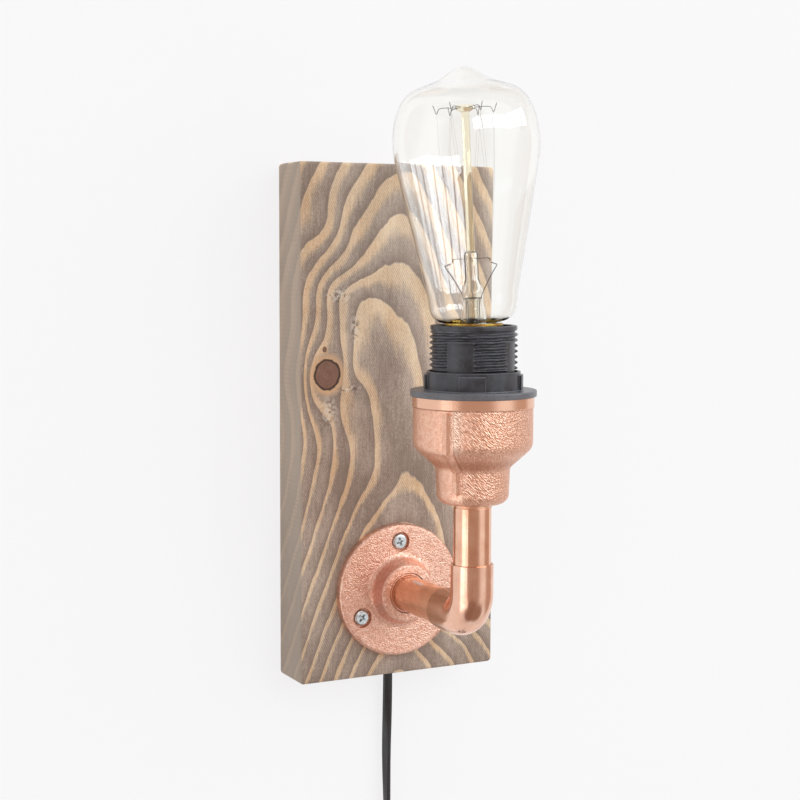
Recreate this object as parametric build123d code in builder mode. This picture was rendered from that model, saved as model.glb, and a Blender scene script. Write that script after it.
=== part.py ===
import math
import os

from build123d import *

os.makedirs("parts", exist_ok=True)

# Wall lamp: a wooden board carries a pipe flange, a copper arm, elbow and riser, a reducing socket,
# a screw lampholder with a shade ring, and a pear-shaped filament bulb. A flat cord leaves the
# board's bottom edge. Millimetres. The origin is the middle of the board's back face, on the wall,
# with +X to the right, +Y into the wall and +Z up.

# Clearances
fit = 0.1
clear = 0.3

# Board
board_w = 106.0
board_h = 250.0
board_t = 24.8
board_round = 2.0

# Where the arm stands on the board, and how far the lamp's axis is in front of it
arm_x = -1.6
arm_drop = 82.3
reach = 74.7

# Flange
flange_d = 65.0
flange_plate = 4.5
flange_edge = 1.6
hub_base_d = 33.0
hub_d = 27.6
hub_h = 13.0
hub_round = 3.0
mouth_d = 20.0
mouth_depth = 3.0
screw_circle_d = 47.8
screw_count = 3
recess_d = 9.8
recess_depth = 2.4
screw_head_d = 7.8
screw_head_h = 2.2
screw_shank_d = 4.0
screw_grip = 17.0

# Copper tube and elbow
tube_d = 17.2
tube_wall = 1.0
elbow_wall = 1.0
elbow_bend = 12.0
elbow_leg = 25.1
socket_depth = 7.0
riser_show = 25.8
joint_collar_h = 1.9
joint_collar_d = 16.4
joint_spigot = 14.0
joint_thread = 12.0
joint_bore_d = 11.0

# Reducing socket
socket_h = 48.2
socket_rim_d = 54.6
socket_rim_h = 4.6
bell_d = 53.7
bell_bore_d = 46.0
shoulder_h = 25.5
shoulder_round = 6.0
neck_h = 16.3
neck_top_d = 33.4
neck_d = 32.2
neck_round = 4.5
throat_round = 3.5
bell_floor_h = 23.5
bell_floor_d = 26.0
bell_cone_h = 6.0
rib_w = 5.2
rib_proud = 1.2
rib_turn = 216.0

# Lampholder
bush_flange_d = 24.0
bush_flange_h = 2.0
bush_depth = 8.0
nipple_d = 9.8
nipple_bore_d = 7.0
nipple_below = 9.0
nut_across = 14.0
lock_nut_h = 2.5
inner_nut_h = 3.0
base_h = 9.5
base_floor = 3.0
base_wall = 2.2
spigot_h = 6.0
sleeve_d = 39.3
sleeve_core_d = 36.8
sleeve_bore_d = 34.6
sleeve_show = 31.6
thread_pitch = 2.5
thread_turns = 7
lip_h = 2.6
flat_count = 4
flat_angle = 38.0
flat_turn = 221.0
flat_h = 13.0
insert_h = 6.0
shell_d = 27.6
shell_wall = 0.4
shell_h = 26.0
ring_flange_d = 56.6
ring_flange_h = 3.0
band_d = 42.0
band_h = 8.2
lug_d = 44.4
lug_drop = 1.5
lug_angle = 31.0
lug_count = 4
lug_turn = 239.0
terminal_x = 9.3
terminal_w = 5.0
terminal_l = 6.0
terminal_screw_d = 2.4
terminal_head_d = 4.4
terminal_head_h = 1.6
contact_rise = 2.2
contact_strip = 0.6

# Bulb: the glass is cemented a little askew in its cap
tip_d = 9.6
tip_h = 1.5
insulator_d = 23.0
insulator_h = 2.6
cap_d = 26.2
cap_wall = 0.5
cap_h = 25.2
glass_lean = 2.8
lean_turn = 153.0
glass_wall = 0.8
glass_neck_d = 23.4
glass_neck_in = 8.0
flare_start = 0.9
flare_d = 33.6
flare_h = 3.1
cone_low_d = 41.0
cone_low_h = 14.0
cone_top_d = 61.6
cone_rise = 51.0
crown_d = 65.0
crown_rise = 14.0
dome_d = 48.4
dome_rise = 22.2
tip_base_d = 22.0
tip_base_rise = 5.4
tip_rise = 5.4
rod_d = 3.6
rod_h = 93.0
press_d = 6.2
press_h = 31.0
knot_d = 9.8
knot_h = 13.0
button_d = 8.8
button_h = 2.2
hook_count = 6
hook_top_r = 14.5
hook_low_r = 10.0
hook_rise = 1.8
wire_d = 0.6
filament_w = 0.4
lead_wire_d = 0.8
lead_spread = 11.7
lead_rise = 24.6
lead_hook = 3.2

# Cord and plug
cord_w = 4.8
cord_t = 2.8
cord_x = 4.2
cord_depth = 4.2
cord_top = 1.0
turn_drop = 27.0
turn_pocket = 18.0
cable_hole_d = 14.0
channel_room = 1.6
elbow_cord_round = 14.0
board_cord_round = 12.0
channel_cord_round = 60.0
lead_in_board = 4.0
lead_end = 76.0
twist_start = 3.0
twist_steps = 7
wall_gap = 1.2
coil_entry_round = 16.0
coil_r = 32.4
coil_step = 3.8
coil_layer = 5.6
coil_halves = 6
coil_exit_round = 15.0
tail_len = 30.0
tie_w = 6.0
tie_t = 0.6
tie_room = 1.1
plug_w = 35.0
plug_t = 13.7
plug_straight = 11.0
plug_taper = 14.0
relief_w = 9.0
relief_t = 6.6
relief_l = 12.0
pin_d = 4.0
pin_l = 19.0
pin_spacing = 19.0

# Saddle that holds the cord, and the toothed hanger, both let into the board's back
saddle_l = 21.0
saddle_w = 7.0
saddle_t = 2.2
saddle_drop = 118.5
small_head_d = 4.4
small_head_h = 1.0
small_shank_d = 2.2
small_shank_l = 9.0
saddle_screw_x = 7.4
hanger_l = 54.0
hanger_w = 11.0
hanger_t = 1.0
hanger_z = 92.0
hanger_depth = 3.8
hanger_ledge = 10.0
hanger_teeth = 9
tooth_h = 1.6
hanger_sink = 1.6

# Places worked out from the sizes above
arm_z = -arm_drop
lamp_y = -(board_t + reach)
elbow_rim_z = arm_z + elbow_leg
riser_top_z = elbow_rim_z + riser_show
neck_z = riser_top_z + joint_collar_h
seat_z = neck_z + socket_h
floor_z = neck_z + bell_floor_h
base_z = floor_z + bush_flange_h + lock_nut_h
base_top_z = base_z + base_h
insert_z = base_top_z + spigot_h
insert_top_z = insert_z + insert_h
rim_z = seat_z + sleeve_show
tip_z = insert_top_z + contact_rise + clear
insulator_z = tip_z + tip_h
cap_z = insulator_z + insulator_h
glass_z = cap_z + cap_h
cone_top_h = cone_low_h + cone_rise
crown_h = cone_top_h + crown_rise
dome_h = crown_h + dome_rise
tip_base_h = dome_h + tip_base_rise
glass_h = tip_base_h + tip_rise
tube_bore_d = tube_d - 2 * tube_wall
elbow_bore_d = tube_d + 2 * fit
elbow_d = elbow_bore_d + 2 * elbow_wall
cord_y = -cord_depth
coil_y = -(cord_w / 2 + wall_gap)
board_low = -board_h / 2
lead_top_z = board_low + lead_in_board
lead_low_z = board_low - lead_end

lamp_line = Axis((arm_x, lamp_y, 0), (0, 0, 1))
lamp_plane = Plane((arm_x, lamp_y, 0), x_dir=(1, 0, 0), z_dir=(0, -1, 0))
arm_plane = Plane((arm_x, -board_t, arm_z), x_dir=(1, 0, 0), z_dir=(0, -1, 0))
back_plane = Plane((0, 0, 0), x_dir=(1, 0, 0), z_dir=(0, -1, 0))


def level(z):
    return Plane((arm_x, lamp_y, z), x_dir=(1, 0, 0), z_dir=(0, 0, 1))


def radial(turn):
    side = (math.cos(math.radians(turn)), math.sin(math.radians(turn)), 0)
    return Plane((arm_x, lamp_y, 0), x_dir=side, z_dir=(side[1], -side[0], 0))


def cord_outline(width, thick):
    corner = 0.2 * thick
    half_w, half_t = width / 2, thick / 2
    quarter = [(half_w, corner), (half_w - half_t + corner, half_t)]
    top = quarter + [(-x, y) for x, y in reversed(quarter)]
    return top + [(-x, -y) for x, y in top]


# The board, with the cable's hole, pocket and channel, the pilot holes and the hanger's recess
pocket_left = arm_x - cable_hole_d / 2
pocket_right = cord_x + cord_w / 2 + channel_room
pocket_w = pocket_right - pocket_left
pocket_h = turn_drop + cable_hole_d / 2
with BuildPart() as back_board:
    with BuildSketch(back_plane):
        Rectangle(board_w, board_h)
    extrude(amount=board_t)
    fillet(back_board.edges().filter_by(Axis.Y), radius=board_round)
    fillet(back_board.faces().sort_by(Axis.Y)[0].edges(), radius=board_round * 0.7)
    with BuildSketch(arm_plane.offset(-board_t)):
        Circle(cable_hole_d / 2)
    extrude(amount=board_t, mode=Mode.SUBTRACT)
    with BuildSketch(back_plane):
        with Locations(((pocket_left + pocket_right) / 2, arm_z + cable_hole_d / 2 - pocket_h / 2)):
            Rectangle(pocket_w, pocket_h)
    extrude(amount=turn_pocket, mode=Mode.SUBTRACT)
    with BuildSketch(back_plane):
        with Locations((cord_x, (arm_z + board_low) / 2)):
            Rectangle(cord_w + 2 * channel_room, arm_z - board_low)
    extrude(amount=cord_depth + cord_t / 2 + clear, mode=Mode.SUBTRACT)
    with BuildSketch(back_plane):
        with Locations((cord_x, -saddle_drop)):
            Rectangle(saddle_l + 2 * clear, saddle_w + 2 * clear)
    extrude(amount=saddle_t + fit, mode=Mode.SUBTRACT)
    with BuildSketch(back_plane.offset(saddle_t + fit)):
        with Locations((cord_x - saddle_screw_x, -saddle_drop), (cord_x + saddle_screw_x, -saddle_drop)):
            Circle(small_shank_d / 2 + fit)
    extrude(amount=small_shank_l, mode=Mode.SUBTRACT)
    with BuildSketch(back_plane):
        with Locations((0, hanger_z)):
            Rectangle(hanger_l + 2 * clear, hanger_w + 2 * clear)
    extrude(amount=hanger_sink, mode=Mode.SUBTRACT)
    with BuildSketch(back_plane):
        with Locations((0, hanger_z - hanger_w / 4)):
            Rectangle(hanger_l - 2 * hanger_ledge, hanger_w * 1.5 + 2 * clear)
    extrude(amount=hanger_depth, mode=Mode.SUBTRACT)
    with BuildSketch(back_plane.offset(hanger_sink)):
        with Locations((0, hanger_z)), GridLocations(hanger_l - hanger_ledge, 1, 2, 1):
            Circle(small_shank_d / 2 + fit)
    extrude(amount=small_shank_l, mode=Mode.SUBTRACT)
    with BuildSketch(arm_plane):
        with PolarLocations(screw_circle_d / 2, screw_count, start_angle=90):
            Circle(screw_shank_d / 2 + fit)
    extrude(amount=-screw_grip, mode=Mode.SUBTRACT)
back_board.part.label = "back_board"
export_step(back_board.part, "parts/back_board.step")

# The toothed hanger bridges its recess, and a nail in the wall catches its lower edge
with BuildPart() as hanger_plate:
    with BuildSketch(back_plane.offset(hanger_sink - hanger_t)):
        with Locations((0, hanger_z)):
            Rectangle(hanger_l, hanger_w)
        with Locations((0, hanger_z)), GridLocations(hanger_l - hanger_ledge, 1, 2, 1):
            Circle(small_shank_d / 2 + fit, mode=Mode.SUBTRACT)
        tooth_gap = (hanger_l - 3 * hanger_ledge) / hanger_teeth
        with Locations((0, hanger_z - hanger_w / 2)), GridLocations(tooth_gap, 1, hanger_teeth, 1):
            Polygon((-tooth_gap / 2, 0), (tooth_gap / 2, 0), (0, tooth_h), align=None, mode=Mode.SUBTRACT)
    extrude(amount=hanger_t)
hanger_plate.part.label = "hanger_plate"
export_step(hanger_plate.part, "parts/hanger_plate.step")

for index, side in enumerate((-1, 1), 1):
    with BuildPart() as hanger_screw:
        with BuildSketch(back_plane.offset(hanger_sink - hanger_t)):
            with Locations((side * (hanger_l - hanger_ledge) / 2, hanger_z)):
                Circle(small_shank_d / 2)
        extrude(amount=small_shank_l)
        with BuildSketch(back_plane.offset(hanger_sink - hanger_t)):
            with Locations((side * (hanger_l - hanger_ledge) / 2, hanger_z)):
                Circle(small_head_d / 2)
        extrude(amount=-(hanger_sink - hanger_t - fit))
    hanger_screw.part.label = f"hanger_screw_{index}"
    export_step(hanger_screw.part, f"parts/hanger_screw_{index}.step")

# The saddle over the cord
with BuildPart() as cord_saddle:
    with BuildSketch(back_plane.offset(fit)):
        with Locations((cord_x, -saddle_drop)):
            SlotOverall(saddle_l, saddle_w)
        with Locations((cord_x - saddle_screw_x, -saddle_drop), (cord_x + saddle_screw_x, -saddle_drop)):
            Circle(small_shank_d / 2 + fit, mode=Mode.SUBTRACT)
    extrude(amount=saddle_t)
    with BuildSketch(back_plane.offset(fit)):
        with Locations((cord_x - saddle_screw_x, -saddle_drop), (cord_x + saddle_screw_x, -saddle_drop)):
            Circle(small_head_d / 2 + fit)
    extrude(amount=small_head_h, mode=Mode.SUBTRACT)
cord_saddle.part.label = "cord_saddle"
export_step(cord_saddle.part, "parts/cord_saddle.step")

for index, side in enumerate((-1, 1), 1):
    with BuildPart() as saddle_screw:
        with BuildSketch(back_plane.offset(fit)):
            with Locations((cord_x + side * saddle_screw_x, -saddle_drop)):
                Circle(small_head_d / 2)
        extrude(amount=small_head_h)
        with BuildSketch(back_plane.offset(fit)):
            with Locations((cord_x + side * saddle_screw_x, -saddle_drop)):
                Circle(small_shank_d / 2)
        extrude(amount=small_shank_l)
    saddle_screw.part.label = f"saddle_screw_{index}"
    export_step(saddle_screw.part, f"parts/saddle_screw_{index}.step")

# The cast flange: a round plate with recessed screw holes and a filleted hub
with BuildPart() as pipe_flange:
    with BuildSketch(Plane((arm_x, -board_t, arm_z), x_dir=(1, 0, 0), z_dir=(0, 0, -1))):
        with BuildLine():
            Polyline((tube_d / 2 + fit, 0), (flange_d / 2, 0))
            FilletPolyline(
                (flange_d / 2, 0),
                (flange_d / 2, flange_plate),
                (hub_base_d / 2, flange_plate),
                (hub_d / 2, hub_h),
                (mouth_d / 2, hub_h),
                radius=[flange_edge, hub_round, flange_edge],
            )
            Polyline(
                (mouth_d / 2, hub_h),
                (mouth_d / 2, hub_h - mouth_depth),
                (tube_d / 2 + fit, hub_h - mouth_depth),
                (tube_d / 2 + fit, 0),
            )
        make_face()
    revolve(axis=Axis((arm_x, -board_t, arm_z), (0, 1, 0)))
    with BuildSketch(arm_plane.offset(flange_plate - recess_depth)):
        with PolarLocations(screw_circle_d / 2, screw_count, start_angle=90):
            Circle(recess_d / 2)
    extrude(amount=recess_depth, mode=Mode.SUBTRACT)
    with BuildSketch(arm_plane):
        with PolarLocations(screw_circle_d / 2, screw_count, start_angle=90):
            Circle(screw_shank_d / 2 + clear)
    extrude(amount=flange_plate, mode=Mode.SUBTRACT)
pipe_flange.part.label = "pipe_flange"
export_step(pipe_flange.part, "parts/pipe_flange.step")

for index in range(1, screw_count + 1):
    turn = math.radians(90 + 360 / screw_count * (index - 1))
    place = (screw_circle_d / 2 * math.cos(turn), screw_circle_d / 2 * math.sin(turn))
    with BuildPart() as flange_screw:
        with BuildSketch(arm_plane.offset(flange_plate - recess_depth)):
            with Locations(place):
                Circle(screw_head_d / 2)
        extrude(amount=screw_head_h)
        fillet(flange_screw.faces().sort_by(Axis.Y)[0].edges(), radius=screw_head_h * 0.35)
        with BuildSketch(arm_plane.offset(flange_plate - recess_depth)):
            with Locations(place):
                Circle(screw_shank_d / 2)
        extrude(amount=-(screw_grip + flange_plate - recess_depth - clear))
    flange_screw.part.label = f"flange_screw_{index}"
    export_step(flange_screw.part, f"parts/flange_screw_{index}.step")

# Copper tube: the arm runs from the flange into the elbow, the riser from the elbow to the socket
with BuildPart() as arm_tube:
    with BuildSketch(arm_plane):
        Circle(tube_d / 2)
        Circle(tube_bore_d / 2, mode=Mode.SUBTRACT)
    extrude(amount=reach - elbow_leg + socket_depth)
arm_tube.part.label = "arm_tube"
export_step(arm_tube.part, "parts/arm_tube.step")

with BuildPart() as elbow:
    with BuildLine() as bend:
        FilletPolyline(
            (arm_x, lamp_y, elbow_rim_z),
            (arm_x, lamp_y, arm_z),
            (arm_x, lamp_y + elbow_leg, arm_z),
            radius=[elbow_bend],
        )
    with BuildSketch(level(elbow_rim_z)):
        Circle(elbow_d / 2)
        Circle(elbow_bore_d / 2, mode=Mode.SUBTRACT)
    sweep()
elbow.part.label = "elbow"
export_step(elbow.part, "parts/elbow.step")

with BuildPart() as riser_tube:
    with BuildSketch(level(elbow_rim_z - socket_depth)):
        Circle(tube_d / 2)
        Circle(tube_bore_d / 2, mode=Mode.SUBTRACT)
    extrude(amount=riser_show + socket_depth)
riser_tube.part.label = "riser_tube"
export_step(riser_tube.part, "parts/riser_tube.step")

# A collared joint stands in the riser and screws into the socket's neck
with BuildPart() as riser_joint:
    with BuildSketch(level(riser_top_z - joint_spigot)):
        Circle(tube_bore_d / 2 - fit)
    extrude(amount=joint_spigot)
    with BuildSketch(level(riser_top_z)):
        Circle(joint_collar_d / 2)
    extrude(amount=joint_collar_h + joint_thread)
    with BuildSketch(level(riser_top_z - joint_spigot)):
        Circle(joint_bore_d / 2)
    extrude(amount=joint_spigot + joint_collar_h + joint_thread, mode=Mode.SUBTRACT)
riser_joint.part.label = "riser_joint"
export_step(riser_joint.part, "parts/riser_joint.step")

# The reducing socket: a bell with a machined rim, a sloped shoulder, a neck and two casting ribs
neck_bore_d = joint_collar_d + 2 * fit
with BuildPart() as reducing_socket:
    with BuildSketch(lamp_plane.offset(0)):
        with BuildLine():
            FilletPolyline(
                (bell_bore_d / 2, seat_z),
                (socket_rim_d / 2, seat_z),
                (socket_rim_d / 2, seat_z - socket_rim_h),
                (bell_d / 2, seat_z - socket_rim_h - (socket_rim_d - bell_d) / 2),
                (bell_d / 2, neck_z + shoulder_h),
                (neck_top_d / 2, neck_z + neck_h),
                (neck_d / 2, neck_z),
                (neck_bore_d / 2, neck_z),
                radius=[0, 0, 0, shoulder_round, throat_round, neck_round],
            )
            Polyline(
                (neck_bore_d / 2, neck_z),
                (neck_bore_d / 2, floor_z),
                (bell_floor_d / 2, floor_z),
                (bell_bore_d / 2, floor_z + bell_cone_h),
                (bell_bore_d / 2, seat_z),
            )
        make_face()
    revolve(axis=lamp_line)
    rib_low = neck_z + neck_round + rib_proud
    rib_top = seat_z - socket_rim_h - rib_proud
    for turn in (rib_turn, rib_turn + 180):
        with BuildSketch(radial(turn)):
            with BuildLine():
                Polyline(
                    (bell_d / 2 + rib_proud, rib_top),
                    (bell_d / 2 + rib_proud, neck_z + shoulder_h - rib_proud),
                    (neck_top_d / 2 + rib_proud, neck_z + neck_h - rib_proud),
                    (neck_d / 2 + rib_proud, rib_low),
                    (neck_d / 2 - rib_proud, rib_low - rib_proud),
                    (neck_top_d / 2 - rib_proud, neck_z + neck_h + rib_proud),
                    (bell_bore_d / 2 + fit, neck_z + shoulder_h + rib_proud),
                    (bell_bore_d / 2 + fit, rib_top + rib_proud),
                    close=True,
                )
            make_face()
        rib_slope = math.degrees(math.atan(0.8 * rib_proud / (rib_w / 2)))
        extrude(amount=rib_w / 2, both=True, taper=rib_slope)
reducing_socket.part.label = "reducing_socket"
export_step(reducing_socket.part, "parts/reducing_socket.step")

# Brass bush in the neck, with the nipple, lock nut and inner nut that hold the lampholder
with BuildPart() as neck_bush:
    with BuildSketch(level(floor_z)):
        Circle(bush_flange_d / 2)
    extrude(amount=bush_flange_h)
    with BuildSketch(level(floor_z)):
        Circle(neck_bore_d / 2 - fit)
    extrude(amount=-bush_depth)
    with BuildSketch(level(floor_z - bush_depth)):
        Circle(nipple_d / 2 + fit)
    extrude(amount=bush_depth + bush_flange_h, mode=Mode.SUBTRACT)
neck_bush.part.label = "neck_bush"
export_step(neck_bush.part, "parts/neck_bush.step")

nipple_z = base_z - lock_nut_h - nipple_below
nipple_top_z = base_z + base_floor + inner_nut_h
with BuildPart() as nipple:
    with BuildSketch(level(nipple_z)):
        Circle(nipple_d / 2)
        Circle(nipple_bore_d / 2, mode=Mode.SUBTRACT)
    extrude(amount=nipple_top_z - nipple_z)
nipple.part.label = "nipple"
export_step(nipple.part, "parts/nipple.step")

nut_levels = {
    "lock_nut": (base_z - lock_nut_h, lock_nut_h),
    "inner_nut": (base_z + base_floor, inner_nut_h),
}
for name, (low, height) in nut_levels.items():
    with BuildPart() as nut:
        with BuildSketch(level(low)):
            RegularPolygon(nut_across / 2, 6, major_radius=False)
            Circle(nipple_d / 2 + fit, mode=Mode.SUBTRACT)
        extrude(amount=height)
    nut.part.label = name
    export_step(nut.part, f"parts/{name}.step")

# Lampholder: a cup-shaped base, a sleeve with an interrupted outer thread, and the contact insert
spigot_d = sleeve_bore_d - 2 * fit
cavity_d = spigot_d - 2 * base_wall
with BuildPart() as holder_base:
    with BuildSketch(level(base_z)):
        Circle(sleeve_core_d / 2)
    extrude(amount=base_h)
    fillet(holder_base.faces().sort_by(Axis.Z)[0].edges(), radius=base_wall)
    with BuildSketch(level(base_top_z)):
        Circle(spigot_d / 2)
    extrude(amount=spigot_h)
    with BuildSketch(level(base_z + base_floor)):
        Circle(cavity_d / 2)
    extrude(amount=base_h + spigot_h - base_floor, mode=Mode.SUBTRACT)
    with BuildSketch(level(base_z)):
        Circle(nipple_d / 2 + fit)
    extrude(amount=base_floor, mode=Mode.SUBTRACT)
holder_base.part.label = "holder_base"
export_step(holder_base.part, "parts/holder_base.step")

thread_top_z = rim_z - lip_h
thread_low_z = thread_top_z - thread_turns * thread_pitch
with BuildPart() as holder_sleeve:
    with BuildSketch(lamp_plane):
        with BuildLine():
            Polyline(
                (sleeve_core_d / 2, thread_low_z),
                (sleeve_core_d / 2, base_top_z),
                (sleeve_bore_d / 2, base_top_z),
                (sleeve_bore_d / 2, rim_z),
                (sleeve_d / 2 - clear, rim_z),
                (sleeve_d / 2 - clear, thread_top_z + thread_pitch / 4),
                (sleeve_core_d / 2, thread_top_z),
            )
            crest = []
            for turn in range(thread_turns):
                top = thread_top_z - turn * thread_pitch
                crest += [
                    (sleeve_core_d / 2, top),
                    (sleeve_d / 2, top - 0.44 * thread_pitch),
                    (sleeve_d / 2, top - 0.56 * thread_pitch),
                ]
            Polyline(crest + [(sleeve_core_d / 2, thread_low_z)])
        make_face()
    revolve(axis=lamp_line)
    flat_z = thread_low_z
    for turn in range(flat_count):
        middle = flat_turn + 360 / flat_count * turn
        with BuildSketch(level(flat_z)):
            with BuildLine():
                start, end = (math.radians(middle + side * flat_angle / 2) for side in (-1, 1))
                inner, outer = sleeve_core_d / 2 + fit, sleeve_d / 2 + 1
                near = [(inner * math.cos(a), inner * math.sin(a)) for a in (start, end)]
                far = [(outer * math.cos(a), outer * math.sin(a)) for a in (start, end)]
                CenterArc((0, 0), inner, middle - flat_angle / 2, flat_angle)
                CenterArc((0, 0), outer, middle - flat_angle / 2, flat_angle)
                Line(near[0], far[0])
                Line(near[1], far[1])
            make_face()
        extrude(amount=flat_h, mode=Mode.SUBTRACT)
holder_sleeve.part.label = "holder_sleeve"
export_step(holder_sleeve.part, "parts/holder_sleeve.step")

# The shade ring seats on the socket's rim; its band has grip lugs
with BuildPart() as shade_ring:
    with BuildSketch(level(seat_z)):
        Circle(ring_flange_d / 2)
    extrude(amount=ring_flange_h)
    fillet(shade_ring.edges().filter_by(GeomType.CIRCLE), radius=ring_flange_h * 0.2)
    with BuildSketch(level(seat_z)):
        Circle(band_d / 2)
    extrude(amount=ring_flange_h + band_h)
    for turn in range(lug_count):
        middle = lug_turn + 360 / lug_count * turn
        with BuildSketch(level(seat_z + ring_flange_h / 2)):
            with BuildLine():
                inner = CenterArc((0, 0), band_d / 2 - clear, middle - lug_angle / 2, lug_angle)
                outer = CenterArc((0, 0), lug_d / 2, middle - lug_angle / 2, lug_angle)
                for end in (0, 1):
                    Line(inner @ end, outer @ end)
            make_face()
        extrude(amount=ring_flange_h / 2 + band_h - lug_drop)
    with BuildSketch(level(seat_z)):
        Circle(sleeve_d / 2 + clear)
    extrude(amount=ring_flange_h + band_h, mode=Mode.SUBTRACT)
shade_ring.part.label = "shade_ring"
export_step(shade_ring.part, "parts/shade_ring.step")

with BuildPart() as holder_insert:
    with BuildSketch(level(insert_z)):
        Circle(sleeve_bore_d / 2 - fit)
        with Locations((-terminal_x, 0), (terminal_x, 0)):
            Circle(terminal_screw_d / 2 + fit, mode=Mode.SUBTRACT)
    extrude(amount=insert_h)
holder_insert.part.label = "holder_insert"
export_step(holder_insert.part, "parts/holder_insert.step")

with BuildPart() as screw_shell:
    with BuildSketch(level(insert_top_z)):
        Circle(shell_d / 2)
        Circle(shell_d / 2 - shell_wall, mode=Mode.SUBTRACT)
    extrude(amount=shell_h)
screw_shell.part.label = "screw_shell"
export_step(screw_shell.part, "parts/screw_shell.step")

# The centre contact is a strip folded up under the bulb's tip
with BuildPart() as centre_contact:
    with BuildSketch(Plane((arm_x, lamp_y, insert_top_z), x_dir=(1, 0, 0), z_dir=(0, -1, 0))):
        with BuildLine():
            Polyline(
                (-tip_d / 2, 0),
                (tip_d / 2, 0),
                (tip_d / 2, contact_strip),
                (-tip_d / 2 + 3 * contact_strip, contact_strip),
                (tip_d / 5, contact_rise - contact_strip),
                (tip_d / 2, contact_rise - contact_strip),
                (tip_d / 2, contact_rise),
                (tip_d / 5, contact_rise),
                (-tip_d / 2, contact_strip),
                close=True,
            )
        make_face()
    extrude(amount=tip_d / 4, both=True)
centre_contact.part.label = "centre_contact"
export_step(centre_contact.part, "parts/centre_contact.step")

for index, side in enumerate((-1, 1), 1):
    with BuildPart() as terminal:
        with BuildSketch(level(insert_z - terminal_l)):
            with Locations((side * terminal_x, 0)):
                Rectangle(terminal_w, terminal_l)
                Circle(terminal_screw_d / 2 + fit, mode=Mode.SUBTRACT)
        extrude(amount=terminal_l)
    terminal.part.label = f"terminal_{index}"
    export_step(terminal.part, f"parts/terminal_{index}.step")

    with BuildPart() as terminal_screw:
        with BuildSketch(level(insert_z - terminal_l - terminal_head_h)):
            with Locations((side * terminal_x, 0)):
                Circle(terminal_head_d / 2)
        extrude(amount=terminal_head_h)
        with BuildSketch(level(insert_z - terminal_l)):
            with Locations((side * terminal_x, 0)):
                Circle(terminal_screw_d / 2)
        extrude(amount=terminal_l + insert_h - clear)
    terminal_screw.part.label = f"terminal_screw_{index}"
    export_step(terminal_screw.part, f"parts/terminal_screw_{index}.step")

# Bulb: solder tip, black glass insulator and brass cap on the lamp's axis
with BuildPart() as bulb_tip:
    with BuildSketch(level(tip_z)):
        Circle(tip_d / 2)
    extrude(amount=tip_h)
    fillet(bulb_tip.faces().sort_by(Axis.Z)[0].edges(), radius=tip_h * 0.6)
bulb_tip.part.label = "bulb_tip"
export_step(bulb_tip.part, "parts/bulb_tip.step")

with BuildPart() as bulb_insulator:
    with BuildSketch(lamp_plane):
        with BuildLine():
            Polyline(
                (0, insulator_z),
                (tip_d / 2, insulator_z),
                (insulator_d / 2, cap_z),
                (0, cap_z),
                close=True,
            )
        make_face()
    revolve(axis=lamp_line)
bulb_insulator.part.label = "bulb_insulator"
export_step(bulb_insulator.part, "parts/bulb_insulator.step")

with BuildPart() as bulb_cap:
    with BuildSketch(level(cap_z)):
        Circle(cap_d / 2)
    extrude(amount=cap_h)
    fillet(bulb_cap.faces().sort_by(Axis.Z)[0].edges(), radius=(cap_d - insulator_d) / 2 - fit)
    with BuildSketch(level(cap_z + 2 * cap_wall)):
        Circle(cap_d / 2 - cap_wall)
    extrude(amount=cap_h, mode=Mode.SUBTRACT)
bulb_cap.part.label = "bulb_cap"
export_step(bulb_cap.part, "parts/bulb_cap.step")

# The glass and everything in it stand on an axis that leans from the cap's top
lean, toward = math.radians(glass_lean), math.radians(lean_turn)
glass_up = (math.sin(lean) * math.cos(toward), math.sin(lean) * math.sin(toward), math.cos(lean))
glass_axis = Axis((arm_x, lamp_y, glass_z), glass_up)
glass_side = (math.cos(lean) * math.cos(toward), math.cos(lean) * math.sin(toward), -math.sin(lean))
glass_base = Plane((arm_x, lamp_y, glass_z), x_dir=glass_side, z_dir=glass_up)
glass_plane = Plane(glass_base.origin, x_dir=glass_side, z_dir=-glass_base.y_dir)


def glass_outline(wall):
    with BuildLine() as outline:
        Polyline(
            (0, -glass_neck_in),
            (glass_neck_d / 2 - wall, -glass_neck_in),
            (glass_neck_d / 2 - wall, flare_start + wall),
        )
        Spline(
            (glass_neck_d / 2 - wall, flare_start + wall),
            (flare_d / 2 - wall, flare_h + wall),
            (cone_low_d / 2 - wall, cone_low_h),
            tangents=[(1, 0.2), (cone_top_d - cone_low_d, 2 * (cone_top_h - cone_low_h))],
        )
        Line((cone_low_d / 2 - wall, cone_low_h), (cone_top_d / 2 - wall, cone_top_h))
        Spline(
            (cone_top_d / 2 - wall, cone_top_h),
            (crown_d / 2 - wall, crown_h),
            (dome_d / 2 - wall * 0.8, dome_h - wall * 0.6),
            (tip_base_d / 2, tip_base_h - wall),
            (0, glass_h - wall),
            tangents=[(cone_top_d - cone_low_d, 2 * (cone_top_h - cone_low_h)), (-1, 0)],
        )
        Line((0, glass_h - wall), (0, -glass_neck_in))
    return outline


outer_glass = glass_outline(0).line
inner_glass = glass_outline(glass_wall).line
with BuildPart() as bulb_glass:
    with BuildSketch(glass_plane):
        make_face(outer_glass.edges())
        make_face(inner_glass.edges(), mode=Mode.SUBTRACT)
    revolve(axis=glass_axis)
bulb_glass.part.label = "bulb_glass"
export_step(bulb_glass.part, "parts/bulb_glass.step")

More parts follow.
